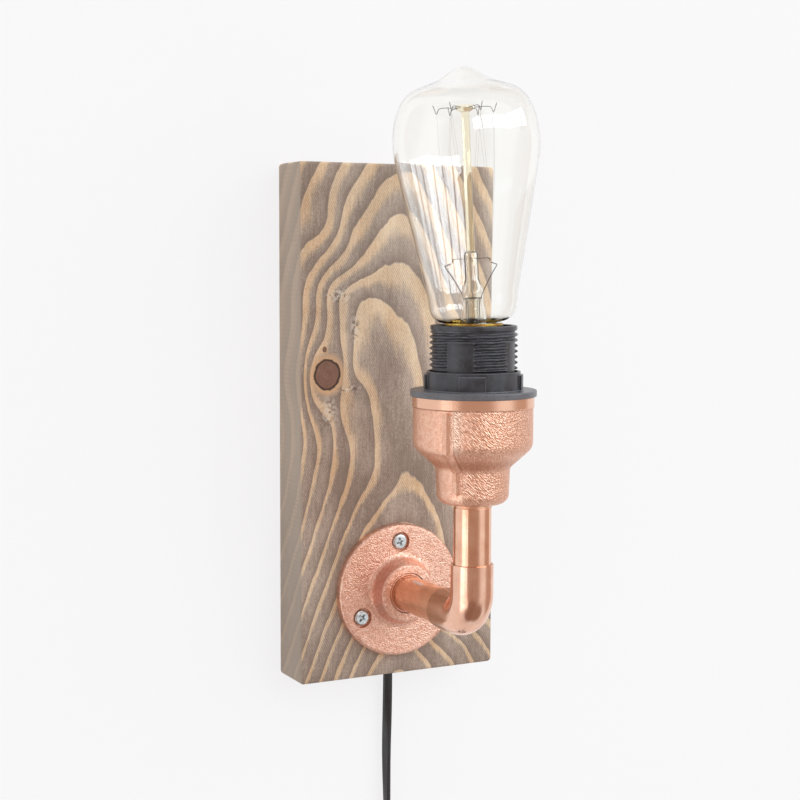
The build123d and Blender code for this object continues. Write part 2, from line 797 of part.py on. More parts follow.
# Stem: flare, knot, press and rod in one piece of glass, with a button on top
stem_flare_d = glass_neck_d - 2 * glass_wall - 2 * fit
with BuildPart() as bulb_stem:
    with BuildSketch(glass_plane):
        with BuildLine():
            Polyline(
                (0, -glass_neck_in),
                (stem_flare_d / 2, -glass_neck_in),
                (stem_flare_d / 2, -glass_neck_in + glass_wall),
                (knot_d / 2, 0),
                (knot_d / 2 - glass_wall, knot_h - knot_d / 2),
                (knot_d / 2, knot_h),
                (press_d / 2, knot_h + knot_d / 2),
                (press_d / 2, press_h),
                (rod_d / 2, press_h + rod_d / 2),
                (rod_d / 2, rod_h),
                (button_d / 2, rod_h),
                (button_d / 2, rod_h + button_h),
                (0, rod_h + button_h),
                close=True,
            )
        make_face()
    revolve(axis=glass_axis)
bulb_stem.part.label = "bulb_stem"
export_step(bulb_stem.part, "parts/bulb_stem.step")

# Wire supports: a ring round the stem with hooked arms, above and below
for name, height, hub_r, reach_r, rise, turn in (
    ("upper_support", rod_h + button_h / 2, button_d / 2 + fit, hook_top_r, hook_rise, 0),
    ("lower_support", press_h - press_d / 2, press_d / 2 + fit, hook_low_r, -hook_rise, 180 / hook_count),
):
    with BuildPart() as support:
        with BuildSketch(glass_base.offset(height - wire_d / 2)):
            Circle(hub_r + wire_d)
            with PolarLocations((hub_r + reach_r) / 2, hook_count, start_angle=turn):
                Rectangle(reach_r - hub_r, wire_d)
            Circle(hub_r, mode=Mode.SUBTRACT)
        extrude(amount=wire_d)
        with BuildSketch(glass_base.offset(height)):
            with PolarLocations(reach_r - wire_d / 2, hook_count, start_angle=turn):
                Rectangle(wire_d, wire_d)
        extrude(amount=rise)
    support.part.label = name
    export_step(support.part, f"parts/{name}.step")

# The filament zigzags between the hooks, just outside them
upper_r = hook_top_r + filament_w
lower_r = hook_low_r + filament_w
upper_h = rod_h + button_h / 2 + hook_rise / 2
lower_h = press_h - press_d / 2 - hook_rise / 2
bends = []
for hook in range(hook_count):
    for reach_r, height, turn in ((upper_r, upper_h, 0), (lower_r, lower_h, 180 / hook_count)):
        bend = Vector(reach_r, 0, height).rotate(Axis.Z, 360 / hook_count * hook + turn)
        bends.append(glass_base.from_local_coords(bend))
with BuildPart() as filament:
    for start, end in zip(bends, bends[1:]):
        strand = end - start
        with BuildSketch(Plane(start, z_dir=strand)):
            Rectangle(filament_w, filament_w)
        extrude(amount=strand.length)
filament.part.label = "filament"
export_step(filament.part, "parts/filament.step")

# Lead-in wires spread from the knot
for index, turn in enumerate((0, 160), 1):
    points = [
        (knot_d / 2 + lead_wire_d / 2 + fit, knot_h),
        (lead_spread, lead_rise),
        (lead_spread - lead_hook, lead_rise + lead_hook / 2),
    ]
    route = [glass_base.from_local_coords(Vector(x, 0, z).rotate(Axis.Z, turn)) for x, z in points]
    with BuildPart() as lead_wire:
        with BuildLine():
            FilletPolyline(*route, radius=[lead_wire_d])
        with BuildSketch(Plane(route[0], z_dir=route[1] - route[0])):
            Circle(lead_wire_d / 2)
        sweep()
    lead_wire.part.label = f"lead_wire_{index}"
    export_step(lead_wire.part, f"parts/lead_wire_{index}.step")

# The cord inside the lamp: down the riser, round the elbow, along the arm and down the channel
cord_end_z = nipple_top_z + cord_top
inner_route = [
    Vector(arm_x, lamp_y, cord_end_z),
    Vector(arm_x, lamp_y, arm_z),
    Vector(arm_x, cord_y, arm_z),
    Vector(cord_x, cord_y, arm_z - turn_drop),
    Vector(cord_x, cord_y, lead_top_z),
]
section = cord_outline(cord_w, cord_t)
with BuildPart() as cord_inner:
    with BuildLine() as inner_path:
        FilletPolyline(*inner_route, radius=[elbow_cord_round, board_cord_round, channel_cord_round])
    with BuildSketch(Plane(inner_route[0], x_dir=(1, 0, 0), z_dir=(0, 0, -1))):
        Polygon(*section, align=None)
    sweep()
cord_inner.part.label = "cord_inner"
export_step(cord_inner.part, "parts/cord_inner.step")

# Its two conductors turn out to the terminals
for index, side in enumerate((-1, 1), 1):
    wire_r = cord_t / 4
    wire_z = insert_z - terminal_l / 2
    route = [
        Vector(arm_x + side * cord_w / 4, lamp_y, cord_end_z),
        Vector(arm_x + side * cord_w / 4, lamp_y, wire_z),
        Vector(arm_x + side * (terminal_x - terminal_w / 2), lamp_y, wire_z),
    ]
    with BuildPart() as conductor:
        with BuildLine():
            FilletPolyline(*route, radius=[1.5 * wire_r])
        with BuildSketch(level(cord_end_z)):
            with Locations((side * cord_w / 4, 0)):
                Circle(wire_r)
        sweep()
    conductor.part.label = f"conductor_{index}"
    export_step(conductor.part, f"parts/conductor_{index}.step")


def twist_planes(start, end, first_turn, last_turn, straight):
    run = end - start
    ends = straight / run.length
    shares = [step / twist_steps for step in range(twist_steps + 1)]
    stations = [(0, 0)] + [(ends + (1 - 2 * ends) * share, share) for share in shares] + [(1, 1)]
    planes = []
    for place, share in stations:
        turn = math.radians(first_turn + (last_turn - first_turn) * share)
        wide = (math.cos(turn), math.sin(turn), 0)
        planes.append(Plane(start + run * place, x_dir=wide, z_dir=(0, 0, 1)))
    return planes


# The climb from layer to layer rolls the flat cord, so it leans half of that one way in the first
# layer and half the other way in the second
radii = [coil_r - coil_step / 2 * half for half in range(coil_halves)]
climb_r = coil_r - coil_step / 2 * coil_halves
climb_lean = math.degrees(math.atan(coil_layer / (2 * climb_r)))

# The free cord hangs down the wall and turns its edge to the room on the way
lead_start = Vector(cord_x, cord_y, lead_top_z)
lead_finish = Vector(cord_x, coil_y, lead_low_z)
coil_wide = Vector(0, -1, 0).rotate(Axis.Z, climb_lean)
coil_start = Plane(lead_finish, x_dir=coil_wide, z_dir=(0, 0, -1))
with BuildPart() as cord_lead:
    for plane in twist_planes(lead_start, lead_finish, 0, -90 + climb_lean, lead_in_board + twist_start):
        with BuildSketch(plane):
            Polygon(*section, align=None)
    loft(ruled=True)
cord_lead.part.label = "cord_lead"
export_step(cord_lead.part, "parts/cord_lead.step")

# The rest is coiled flat on the wall: half turns spiral in, climb a layer and spiral out again
coil_x = cord_x + coil_entry_round
coil_top_z = lead_low_z - cord_w - coil_entry_round
turns = [(r, coil_y, coil_y) for r in radii]
turns.append((climb_r, coil_y, coil_y - coil_layer))
turns += [(r, coil_y - coil_layer, coil_y - coil_layer) for r in reversed(radii)]
slant = math.sqrt(0.5)
coil_points = [
    Vector(cord_x, coil_y, lead_low_z),
    Vector(cord_x, coil_y, lead_low_z - cord_w),
    Vector(cord_x + coil_entry_round * (1 - slant), coil_y, lead_low_z - cord_w - coil_entry_round * slant),
    Vector(coil_x, coil_y, coil_top_z),
]
z = coil_top_z
for half, (r, y0, y1) in enumerate(turns):
    side = 1 if half % 2 == 0 else -1
    next_z = z - 2 * r * side
    across = math.hypot(2 * r, y1 - y0) / 2
    coil_points.append(Vector(coil_x + side * across, (y0 + y1) / 2, (z + next_z) / 2))
    coil_points.append(Vector(coil_x, y1, next_z))
    z = next_z
coil_end_y = turns[-1][2]
tail_x = coil_x - coil_exit_round
coil_points += [
    Vector(coil_x - coil_exit_round * slant, coil_end_y, z - coil_exit_round * (1 - slant)),
    Vector(tail_x, coil_end_y, z - coil_exit_round),
    Vector(tail_x, coil_end_y, z - coil_exit_round - cord_w),
]
with BuildPart() as cord_coil:
    with BuildLine() as coil_path:
        Line(coil_points[0], coil_points[1])
        for first in range(1, len(coil_points) - 2, 2):
            ThreePointArc(*coil_points[first : first + 3])
        Line(coil_points[-2], coil_points[-1])
    with BuildSketch(coil_start):
        Polygon(*section, align=None)
    sweep()
cord_coil.part.label = "cord_coil"
export_step(cord_coil.part, "parts/cord_coil.step")

# A twist tie holds the loops together on the side where they lie two by two
tie_out = coil_x - radii[1] - cord_t / 2 - 2 * clear
tie_in = coil_x - radii[-1] + cord_t / 2 + tie_room
tie_back = coil_y + cord_w / 2 + clear
tie_front = coil_y - coil_layer - cord_w / 2 - clear
tie_z = coil_top_z - coil_r
with BuildPart() as coil_tie:
    with BuildSketch(Plane(((tie_out + tie_in) / 2, (tie_back + tie_front) / 2, tie_z - tie_w / 2))):
        Rectangle(tie_in - tie_out + 2 * tie_t, tie_back - tie_front + 2 * tie_t)
        Rectangle(tie_in - tie_out, tie_back - tie_front, mode=Mode.SUBTRACT)
    extrude(amount=tie_w)
coil_tie.part.label = "coil_tie"
export_step(coil_tie.part, "parts/coil_tie.step")

tail_top = coil_points[-1]
plug_z = tail_top.Z - tail_len
plug_top = Vector(tail_x, coil_end_y, plug_z)
with BuildPart() as cord_tail:
    for plane in twist_planes(tail_top, plug_top, -90 - climb_lean, -180, twist_start):
        with BuildSketch(plane):
            Polygon(*section, align=None)
    loft(ruled=True)
cord_tail.part.label = "cord_tail"
export_step(cord_tail.part, "parts/cord_tail.step")

# Flat two-pin plug with a tapered body
plug_plane = Plane(plug_top, x_dir=(1, 0, 0), z_dir=(0, -1, 0))
plug_l = relief_l + plug_taper + plug_straight
with BuildPart() as plug_body:
    with BuildSketch(plug_plane):
        with BuildLine():
            Polyline(
                (-relief_w, -relief_l),
                (relief_w, -relief_l),
                (plug_w / 2, -relief_l - plug_taper),
                (plug_w / 2, -plug_l),
                (-plug_w / 2, -plug_l),
                (-plug_w / 2, -relief_l - plug_taper),
                close=True,
            )
        make_face()
    extrude(amount=plug_t / 2, both=True)
    fillet(plug_body.edges().filter_by(Axis.Y), radius=2.5)
    fillet(plug_body.faces().filter_by(Axis.Y).edges(), radius=1.8)
    with BuildSketch(plug_plane):
        with Locations((0, -(relief_l + plug_taper / 2) / 2)):
            Rectangle(relief_w, relief_l + plug_taper / 2)
    extrude(amount=relief_t / 2, both=True)
plug_body.part.label = "plug_body"
export_step(plug_body.part, "parts/plug_body.step")

for index, side in enumerate((-1, 1), 1):
    with BuildPart() as plug_pin:
        with BuildSketch(Plane((tail_x + side * pin_spacing / 2, coil_end_y, plug_z - plug_l))):
            Circle(pin_d / 2)
        extrude(amount=-pin_l)
        fillet(plug_pin.faces().sort_by(Axis.Z)[0].edges(), radius=pin_d * 0.35)
    plug_pin.part.label = f"plug_pin_{index}"
    export_step(plug_pin.part, f"parts/plug_pin_{index}.step")

# Lengths, radii and the coil's least gap to itself
area = (cord_w - cord_t) * cord_t + math.pi * (cord_t / 2) ** 2
coil_wire = coil_path.wires()[0]
stretches = [
    (cord_inner, inner_path.wires()[0].length),
    (cord_lead, (lead_finish - lead_start).length),
    (cord_coil, coil_wire.length),
    (cord_tail, tail_len),
]
for piece, length in stretches:
    sizes = (round(length, 1), round(piece.part.volume, 1), round(area * length, 1))
    print(piece.part.label, "length, volume, section times length", *sizes)
print("whole cord", round(sum(length for piece, length in stretches), 1))
print("inner radii", elbow_cord_round, board_cord_round, channel_cord_round)
print("coil radii", coil_entry_round, coil_r, climb_r, coil_exit_round)
samples = [coil_wire @ (step / 900) for step in range(901)]
spacing = coil_wire.length / 900
apart = int(6 * cord_w / spacing)
least = 1e9
for i, p in enumerate(samples):
    for q in samples[i + apart :]:
        flat_gap = math.hypot(p.X - q.X, p.Z - q.Z) - cord_t
        deep_gap = abs(p.Y - q.Y) - cord_w
        least = min(least, max(flat_gap, deep_gap))
print("least gap of the coil to itself", round(least, 2))
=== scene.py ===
import math
from functools import partial
import bmesh
import bpy
from mathutils import Matrix, Vector


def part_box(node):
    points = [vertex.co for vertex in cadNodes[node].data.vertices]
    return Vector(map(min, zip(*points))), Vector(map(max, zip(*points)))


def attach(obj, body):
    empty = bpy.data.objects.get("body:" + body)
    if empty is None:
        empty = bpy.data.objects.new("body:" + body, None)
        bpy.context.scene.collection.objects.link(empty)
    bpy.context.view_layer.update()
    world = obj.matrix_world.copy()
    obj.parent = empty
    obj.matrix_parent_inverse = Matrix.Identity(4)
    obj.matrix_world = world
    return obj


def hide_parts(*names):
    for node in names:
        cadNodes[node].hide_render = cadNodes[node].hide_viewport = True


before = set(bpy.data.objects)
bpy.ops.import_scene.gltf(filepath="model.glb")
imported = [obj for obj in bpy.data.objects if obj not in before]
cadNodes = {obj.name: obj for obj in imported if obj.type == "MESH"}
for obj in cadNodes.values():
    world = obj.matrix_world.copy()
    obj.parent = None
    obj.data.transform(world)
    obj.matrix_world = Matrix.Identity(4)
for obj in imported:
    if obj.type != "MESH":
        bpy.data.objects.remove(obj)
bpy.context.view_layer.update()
scene = bpy.context.scene
mm = 0.001
setMode = bpy.ops.object.mode_set
print("frame loaded with", len(cadNodes), "nodes")


def toLinear(hexText):
    channels = [int(hexText[i:i + 2], 16) / 255 for i in (1, 3, 5)]
    return [c / 12.92 if c <= 0.04045 else ((c + 0.055) / 1.055) ** 2.4 for c in channels] + [1.0]


nodeModes = {
    "Math": "operation", "VectorMath": "operation", "Mix": "data_type", "MapRange": "interpolation_type",
}


def put(tree, kind, inputs=(), mode=None, out=None, **settings):
    # inputs go to the sockets that the node shows, in order or by name; gives the first or the named output
    made = tree.nodes.new("ShaderNode" + kind)
    if mode:
        settings[nodeModes[kind]] = mode
    for name, value in settings.items():
        setattr(made, name, value)
    sockets = [socket for socket in made.inputs if socket.enabled]
    if isinstance(inputs, dict):
        sockets, inputs = [made.inputs[name] for name in inputs], inputs.values()
    for socket, value in zip(sockets, inputs):
        if isinstance(value, bpy.types.NodeSocket):
            tree.links.new(value, socket)
        else:
            socket.default_value = toLinear(value) if isinstance(value, str) else value
    return made.outputs[out] if out else next((socket for socket in made.outputs if socket.enabled), None)


def startMaterial(name):
    # gives the material, what adds a node to it, and the place on the piece in mm
    material = bpy.data.materials.new(name)
    material.use_nodes = True
    material.node_tree.nodes.clear()
    add = partial(put, material.node_tree)
    place = add("TexCoord", out="Object")
    return material, add, add("VectorMath", [place, 1000], "SCALE")


def clamp(value):
    return max(0.0, min(1.0, value))


def heading(turn, rise):
    # a direction from its plan angle and its rise, degrees
    turn, rise = math.radians(turn), math.radians(rise)
    return Vector((math.cos(turn) * math.cos(rise), math.sin(turn) * math.cos(rise), math.sin(rise)))


def deselectAll():
    if bpy.context.object and bpy.context.object.mode != "OBJECT":
        setMode(mode="OBJECT")
    bpy.ops.object.select_all(action="DESELECT")


def takeUp(piece):
    deselectAll()
    piece.select_set(True)
    bpy.context.view_layer.objects.active = piece


def pick(piece, kind, test):
    # selects the faces or the edges that pass a test
    bpy.ops.mesh.select_mode(type=kind)
    bpy.ops.mesh.select_all(action="DESELECT")
    shape = bmesh.from_edit_mesh(piece.data)
    for part in shape.faces if kind == "FACE" else shape.edges:
        part.select = test(part)
    shape.select_flush_mode()
    bmesh.update_edit_mesh(piece.data)


def pullUp(rise, faces=False):
    extrude = bpy.ops.mesh.extrude_region_move if faces else bpy.ops.mesh.extrude_edges_move
    extrude(TRANSFORM_OT_translate={"value": (0, 0, rise * mm)})


def facesOut():
    bpy.ops.mesh.select_all(action="SELECT")
    bpy.ops.mesh.normals_make_consistent(inside=False)
    setMode(mode="OBJECT")


def thicken(piece, wall, even=False):
    shell = piece.modifiers.new("wall", "SOLIDIFY")
    shell.thickness = wall * mm
    shell.offset = -1
    shell.use_even_offset = even
    bpy.ops.object.modifier_apply(modifier=shell.name)


def joinTo(piece, part):
    takeUp(piece)
    part.select_set(True)
    bpy.ops.object.join()


def finishPiece(piece, name, material, body, nodes=(), angle=35):
    takeUp(piece)
    bpy.ops.object.transform_apply()
    bpy.ops.object.shade_smooth_by_angle(angle=math.radians(angle))
    piece.name = name
    piece.data.name = name
    piece.data.materials.clear()
    piece.data.materials.append(material)
    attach(piece, body)
    if nodes:
        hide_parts(*nodes)
    piece.select_set(False)
    return piece


def begin(addShape, **options):
    deselectAll()
    addShape(**options)
    bpy.ops.object.transform_apply()
    return bpy.context.object


def block(sizes, z, turn=0):
    deselectAll()
    bpy.ops.mesh.primitive_cube_add(size=1 * mm, rotation=(0, 0, math.radians(turn)))
    piece = bpy.context.object
    piece.scale = sizes
    piece.location.z = z * mm
    bpy.ops.object.transform_apply()
    return piece


def turnRings(rings, sides, closeTop=False, closeLow=False):
    # a circle drawn up ring by ring, as on a lathe; rings are (radius, height) in mm
    (radius, height), *others = rings
    foot = (0, 0, height * mm)
    piece = begin(bpy.ops.mesh.primitive_circle_add, vertices=sides, radius=radius * mm, location=foot)
    setMode(mode="EDIT")
    if closeLow:
        bpy.ops.mesh.edge_face_add()
        bpy.ops.mesh.select_mode(type="EDGE")
    for (lastRadius, lastHeight), (radius, height) in zip(rings, others):
        pullUp(height - lastHeight)
        grow = radius / lastRadius
        bpy.ops.transform.resize(value=(grow, grow, 1), center_override=(0, 0, height * mm))
    if closeTop:
        bpy.ops.mesh.edge_face_add()
    bpy.ops.mesh.select_all(action="SELECT")
    bpy.ops.mesh.remove_doubles(threshold=0.002 * mm)
    facesOut()
    return piece


def threadedTube(radius, sides, low, top, cuts, radiusAt):
    # an open tube cut into rings, each point set out by its angle and height
    piece = begin(
        bpy.ops.mesh.primitive_cylinder_add, vertices=sides, radius=radius * mm, depth=(top - low) * mm,
        end_fill_type="NOTHING", location=(0, 0, (top + low) / 2 * mm),
    )
    setMode(mode="EDIT")
    pick(piece, "EDGE", lambda e: abs(e.verts[0].co.z - e.verts[1].co.z) > 1 * mm)
    bpy.ops.mesh.subdivide(number_cuts=cuts)
    setMode(mode="OBJECT")
    for vertex in piece.data.vertices:
        angle = math.atan2(vertex.co.y, vertex.co.x)
        reach = radiusAt(angle, vertex.co.z / mm) * mm
        vertex.co.x, vertex.co.y = reach * math.cos(angle), reach * math.sin(angle)
    return piece


def nurbsLine(name, strands, resolution):
    # smooth strands through the room, points in mm
    line = bpy.data.curves.new(name, "CURVE")
    line.dimensions = "3D"
    line.resolution_u = resolution
    for strand in strands:
        spline = line.splines.new("NURBS")
        spline.points.add(len(strand) - 1)
        for knot, point in zip(spline.points, strand):
            knot.co = (*(Vector(point) * mm), 1)
        spline.order_u = 3
        spline.use_endpoint_u = True
    holder = bpy.data.objects.new(name, line)
    scene.collection.objects.link(holder)
    return holder


# Camera: in front of the board, to its left and a little above the arm
cameraSetup = {
    "place": (-356.889, -718.980, 79.450),
    "yaw": 27.213,
    "pitch": -5.025,
    "roll": 0.182,
    "lens": 72.21,
}
deselectAll()
bpy.ops.object.camera_add()
camera = bpy.context.object
camera.data.lens = cameraSetup["lens"]
camera.data.sensor_width = 36
camera.data.clip_start = 0.01
camera.matrix_world = (
    Matrix.Translation(Vector(cameraSetup["place"]) * mm)
    @ Matrix.Rotation(-math.radians(cameraSetup["yaw"]), 4, "Z")
    @ Matrix.Rotation(math.radians(90 + cameraSetup["pitch"]), 4, "X")
    @ Matrix.Rotation(math.radians(cameraSetup["roll"]), 4, "Z")
)
scene.camera = camera
scene.view_settings.view_transform = "Standard"
print("camera placed")

# Where the lamp stands, in mm, as in the part
lamp = {"x": -1.6, "y": -99.5, "armZ": -82.3, "boardFront": -24.8}
lampFoot = Vector((lamp["x"], lamp["y"], 0))
towardCamera = 240.2  # plan angle from the lamp's axis to the camera, degrees

# Wall: pale plaster, seen only from the room's side, and open to what lies on it so that the back is lit too
wallLook = {"colour": "#f4f4f5", "pale": "#fcfcfd", "lift": 0.8, "size": 9.0, "gap": 0.6, "touch": 2.0}
wall = begin(
    bpy.ops.mesh.primitive_plane_add, size=wallLook["size"], rotation=(math.pi / 2, 0, 0),
    location=(0, wallLook["gap"] * mm, 0),
)
wall.name = "wall"
wallPaint, add, at = startMaterial("PaintedPlaster")  # matt, no grain at this distance
paint = add("BsdfDiffuse", {"Color": wallLook["colour"]})
pale = add("Emission", {"Color": wallLook["pale"], "Strength": 1.0})
rays = add("LightPath").node.outputs
sharp = add("Math", [rays["Is Camera Ray"], rays["Is Glossy Ray"]], "MAXIMUM")
sharp = add("Math", [sharp, rays["Is Transmission Ray"]], "MAXIMUM")
lift = add("Math", [sharp, wallLook["lift"]], "MULTIPLY")
front = add("MixShader", [lift, paint, pale])
back = add("NewGeometry", out="Backfacing")
touching = add("Math", [rays["Ray Length"], wallLook["touch"] * mm], "LESS_THAN")
through = add("Math", [back, touching], "MAXIMUM")
add("OutputMaterial", [add("MixShader", [through, front, add("BsdfTransparent")])])
wall.data.materials.append(wallPaint)

# Room light: even and pale, warmer and dimmer where the room lies in front of the lamp
roomLight = {
    "level": 1.05, "floor": 0.82, "pale": "#fbfdff", "floorFade": (-0.9, -0.05),
    "patches": {  # plan angle, rise, half width and softness in degrees, colour
        "room": (242, -6, 40, 12, "#b9a599"),
        "floor": (240, -48, 27, 5, "#9c8073"),
        "floorRight": (284, -52, 22, 6, "#a58b7e"),
        "rightWall": (348, -12, 26, 9, "#c4aea1"),
    },
}
world = scene.world or bpy.data.worlds.new("room")
scene.world = world
world.use_nodes = True
world.node_tree.nodes.clear()
add = partial(put, world.node_tree)
look = add("TexCoord", out="Generated")
tint = roomLight["pale"]
for turn, rise, half, soft, colour in roomLight["patches"].values():
    near = add("VectorMath", [look, heading(turn, rise)], "DOT_PRODUCT")
    edges = [math.cos(math.radians(half + side * soft)) for side in (1, -1)]
    inside = add("MapRange", [near, *edges, 0.0, 1.0], "SMOOTHSTEP")
    tint = add("Mix", [inside, tint, colour], "RGBA")
direct = add("LightPath", out="Is Camera Ray")
tint = add("Mix", [direct, tint, roomLight["pale"]], "RGBA")
height = add("SeparateXYZ", [look], out="Z")
levels = roomLight["level"] * roomLight["floor"], roomLight["level"]
level = add("MapRange", [height, *roomLight["floorFade"], *levels])
level = add("Math", [level, direct], "MAXIMUM")
add("OutputWorld", [add("Background", {"Color": tint, "Strength": level})])

# Windows: rows of panes seen from the lamp; the sky in the panes is far brighter than the light that they
# give, so the bulb's glass has panes of its own
windows = {  # plan angle, rise, distance in m, pane size and gap, panes across and up, radiance
    "left": (196, -26, 1.55, (0.3, 0.9), 0.05, (3, 1), 1.4),
    "right": (304, 21, 2.0, (0.62, 0.62), 0.04, (4, 2), 1.9),
    "rightShine": (283, 22, 2.0, (0.5, 0.5), 0.1, (4, 1), 8.0),
    "sideShine": (333, 22, 2.0, (0.34, 0.5), 0.12, (3, 1), 4.4),
}
daylight, skyInGlass = "#f7fbff", "#e6f1ff"
windowsFace = lampFoot * mm + Vector((0, 0, 0.1))
onGlass = bpy.data.collections.new("onGlass")
offGlass = bpy.data.collections.new("offGlass")
for name, (turn, rise, far, (wide, tall), gap, (across, up), radiance) in windows.items():
    outward = heading(turn, rise)
    facing = outward.to_track_quat("Z", "Y").to_matrix().to_4x4()
    middle = windowsFace + outward * far
    shine = name.endswith("Shine")
    for column in range(across):
        for row in range(up):
            aside, above = (column - (across - 1) / 2) * (wide + gap), (row - (up - 1) / 2) * (tall + gap)
            deselectAll()
            bpy.ops.object.light_add(type="AREA")
            light = bpy.context.object
            light.name = f"{name}Pane{column}{row}"
            light.data.shape = "RECTANGLE"
            light.data.size, light.data.size_y = wide, tall
            light.data.energy = radiance * math.pi * wide * tall
            light.data.color = toLinear(skyInGlass if shine else daylight)[:3]
            light.matrix_world = Matrix.Translation(middle) @ facing @ Matrix.Translation((aside, above, 0))
            light.light_linking.receiver_collection = onGlass if shine else offGlass
print("wall and windows set")

# Black PVC: extruded flat cord and moulded plug, satin, with faint drawn lines and lint-pale scuffs
pvcLook = {"deep": "#1f1f21", "pale": "#2d2d31", "scuff": 6.0, "peel": 0.5, "rough": (0.32, 0.5)}
cordPvc, add, at = startMaterial("BlackPvcSheath")
scuff = add("TexNoise", [at, 1 / pvcLook["scuff"], 5.0])
tone = add("Mix", [scuff, pvcLook["deep"], pvcLook["pale"]], "RGBA")
rough = add("MapRange", [scuff, 0.3, 0.7, *pvcLook["rough"]])
peel = add("TexNoise", [at, 1 / pvcLook["peel"]])
bump = add("Bump", {"Height": peel, "Strength": 0.25, "Distance": 0.05 * mm})
finish = {"Base Color": tone, "Roughness": rough, "IOR": 1.53, "Normal": bump}
add("OutputMaterial", [add("BsdfPrincipled", finish)])

# The free cord: down the wall from the board's lower edge, then put away in a flat coil, mm
cordRoute = {
    "exit": (4.2, -4.2, -121.0), "hang": ((4.1, -4.1, -146.0), (3.5, -3.8, -172.0), (4.2, -3.6, -201.0)),
    "entryRound": 16.0, "coilTop": -221.8, "coilX": 20.2, "layers": (-3.6, -9.2), "outer": 32.4, "step": 1.9,
    "halves": 6, "perHalf": 8, "exitRound": 15.0, "tailX": 5.2, "plugTop": -336.4, "width": 4.8, "thick": 2.8,
    "twistStart": -125.0, "twistEnd": -198.0, "tailTwist": -309.0, "around": 24, "groove": (0.1, 0.18),
}
r = cordRoute
nearY, farY = r["layers"]
leadX = r["exit"][0]
radii = [r["outer"] - r["step"] * half for half in range(r["halves"])]
turns = [(radius, nearY, nearY) for radius in radii]
turns.append((r["outer"] - r["step"] * r["halves"], nearY, farY))
turns += [(radius, farY, farY) for radius in reversed(radii)]
level = r["coilTop"]
bend = r["entryRound"] * 0.45
routePoints = [r["exit"], *r["hang"], (leadX, nearY, level + bend), (leadX + bend, nearY, level)]
for half, (radius, startY, endY) in enumerate(turns):
    side = 1 if half % 2 == 0 else -1
    middle = level - side * radius
    reach = radius / math.cos(math.pi / 2 / r["perHalf"])
    for point in range(r["perHalf"]):
        share = (point + 0.5) / r["perHalf"]
        angle = math.radians(90 - 180 * (half + share))
        ease = share * share * (3 - 2 * share)
        x, z = r["coilX"] + reach * math.cos(angle), middle + reach * math.sin(angle)
        routePoints.append((x, startY + (endY - startY) * ease, z))
    level -= 2 * side * radius
bend = r["exitRound"] * 0.45
routePoints.append((r["tailX"] + bend, farY, level))
routePoints += [(r["tailX"], farY, z) for z in (level - bend, r["tailTwist"], r["plugTop"] - 2.0)]


def splinePoints(points, name):
    holder = nurbsLine(name, [points], 6)
    line = holder.data
    drawn = bpy.data.meshes.new_from_object(holder)
    places = [v.co.copy() for v in drawn.vertices]
    bpy.data.objects.remove(holder)
    bpy.data.curves.remove(line)
    bpy.data.meshes.remove(drawn)
    return places


def flatTube(name, places, wideAt):
    # stadium section with a shallow groove between its two cores
    width, thick = r["width"], r["thick"]
    rim, count = [], r["around"]
    deep, broad = r["groove"]
    for step in range(count):
        angle = 2 * math.pi * step / count
        c, s = math.cos(angle), math.sin(angle)
        flat = (width - thick) / 2 * (1 if c > 0.01 else -1 if c < -0.01 else 0)
        dip = 1 - deep * math.exp(-(c / broad) ** 2)
        rim.append((flat + thick / 2 * c, thick / 2 * s * dip))
    points, faces = [], []
    for index, place in enumerate(places):
        ahead = (places[min(index + 1, len(places) - 1)] - places[max(index - 1, 0)]).normalized()
        wide = wideAt(place)
        wide = (wide - ahead * wide.dot(ahead)).normalized()
        thin = ahead.cross(wide)
        points += [place + (wide * a + thin * b) * mm for a, b in rim]
    for ring in range(len(places) - 1):
        for step in range(count):
            one, two = ring * count + step, ring * count + (step + 1) % count
            faces.append((one, two, two + count, one + count))
    faces.append(tuple(reversed(range(count))))
    faces.append(tuple(range(len(points) - count, len(points))))
    shape = bpy.data.meshes.new(name)
    shape.from_pydata(points, [], faces)
    tube = bpy.data.objects.new(name, shape)
    scene.collection.objects.link(tube)
    takeUp(tube)
    setMode(mode="EDIT")
    facesOut()
    return tube


def freeCordWide(place):
    # flat on the wall at the board, edge to the room in the coil, flat again at the plug
    z = place.z / mm
    first = clamp((r["twistStart"] - z) / (r["twistStart"] - r["twistEnd"]))
    last = clamp((r["tailTwist"] - z) / (r["tailTwist"] - r["plugTop"]))
    return heading(-90 * first - 90 * last, 0)


cordPlaces = splinePoints(routePoints, "cordLine")
cord = flatTube("cord", cordPlaces, freeCordWide)
finishPiece(cord, "cord", cordPvc, "lamp", ("cord_lead", "cord_coil", "cord_tail"))
cordLength = sum((b - a).length for a, b in zip(cordPlaces, cordPlaces[1:]))

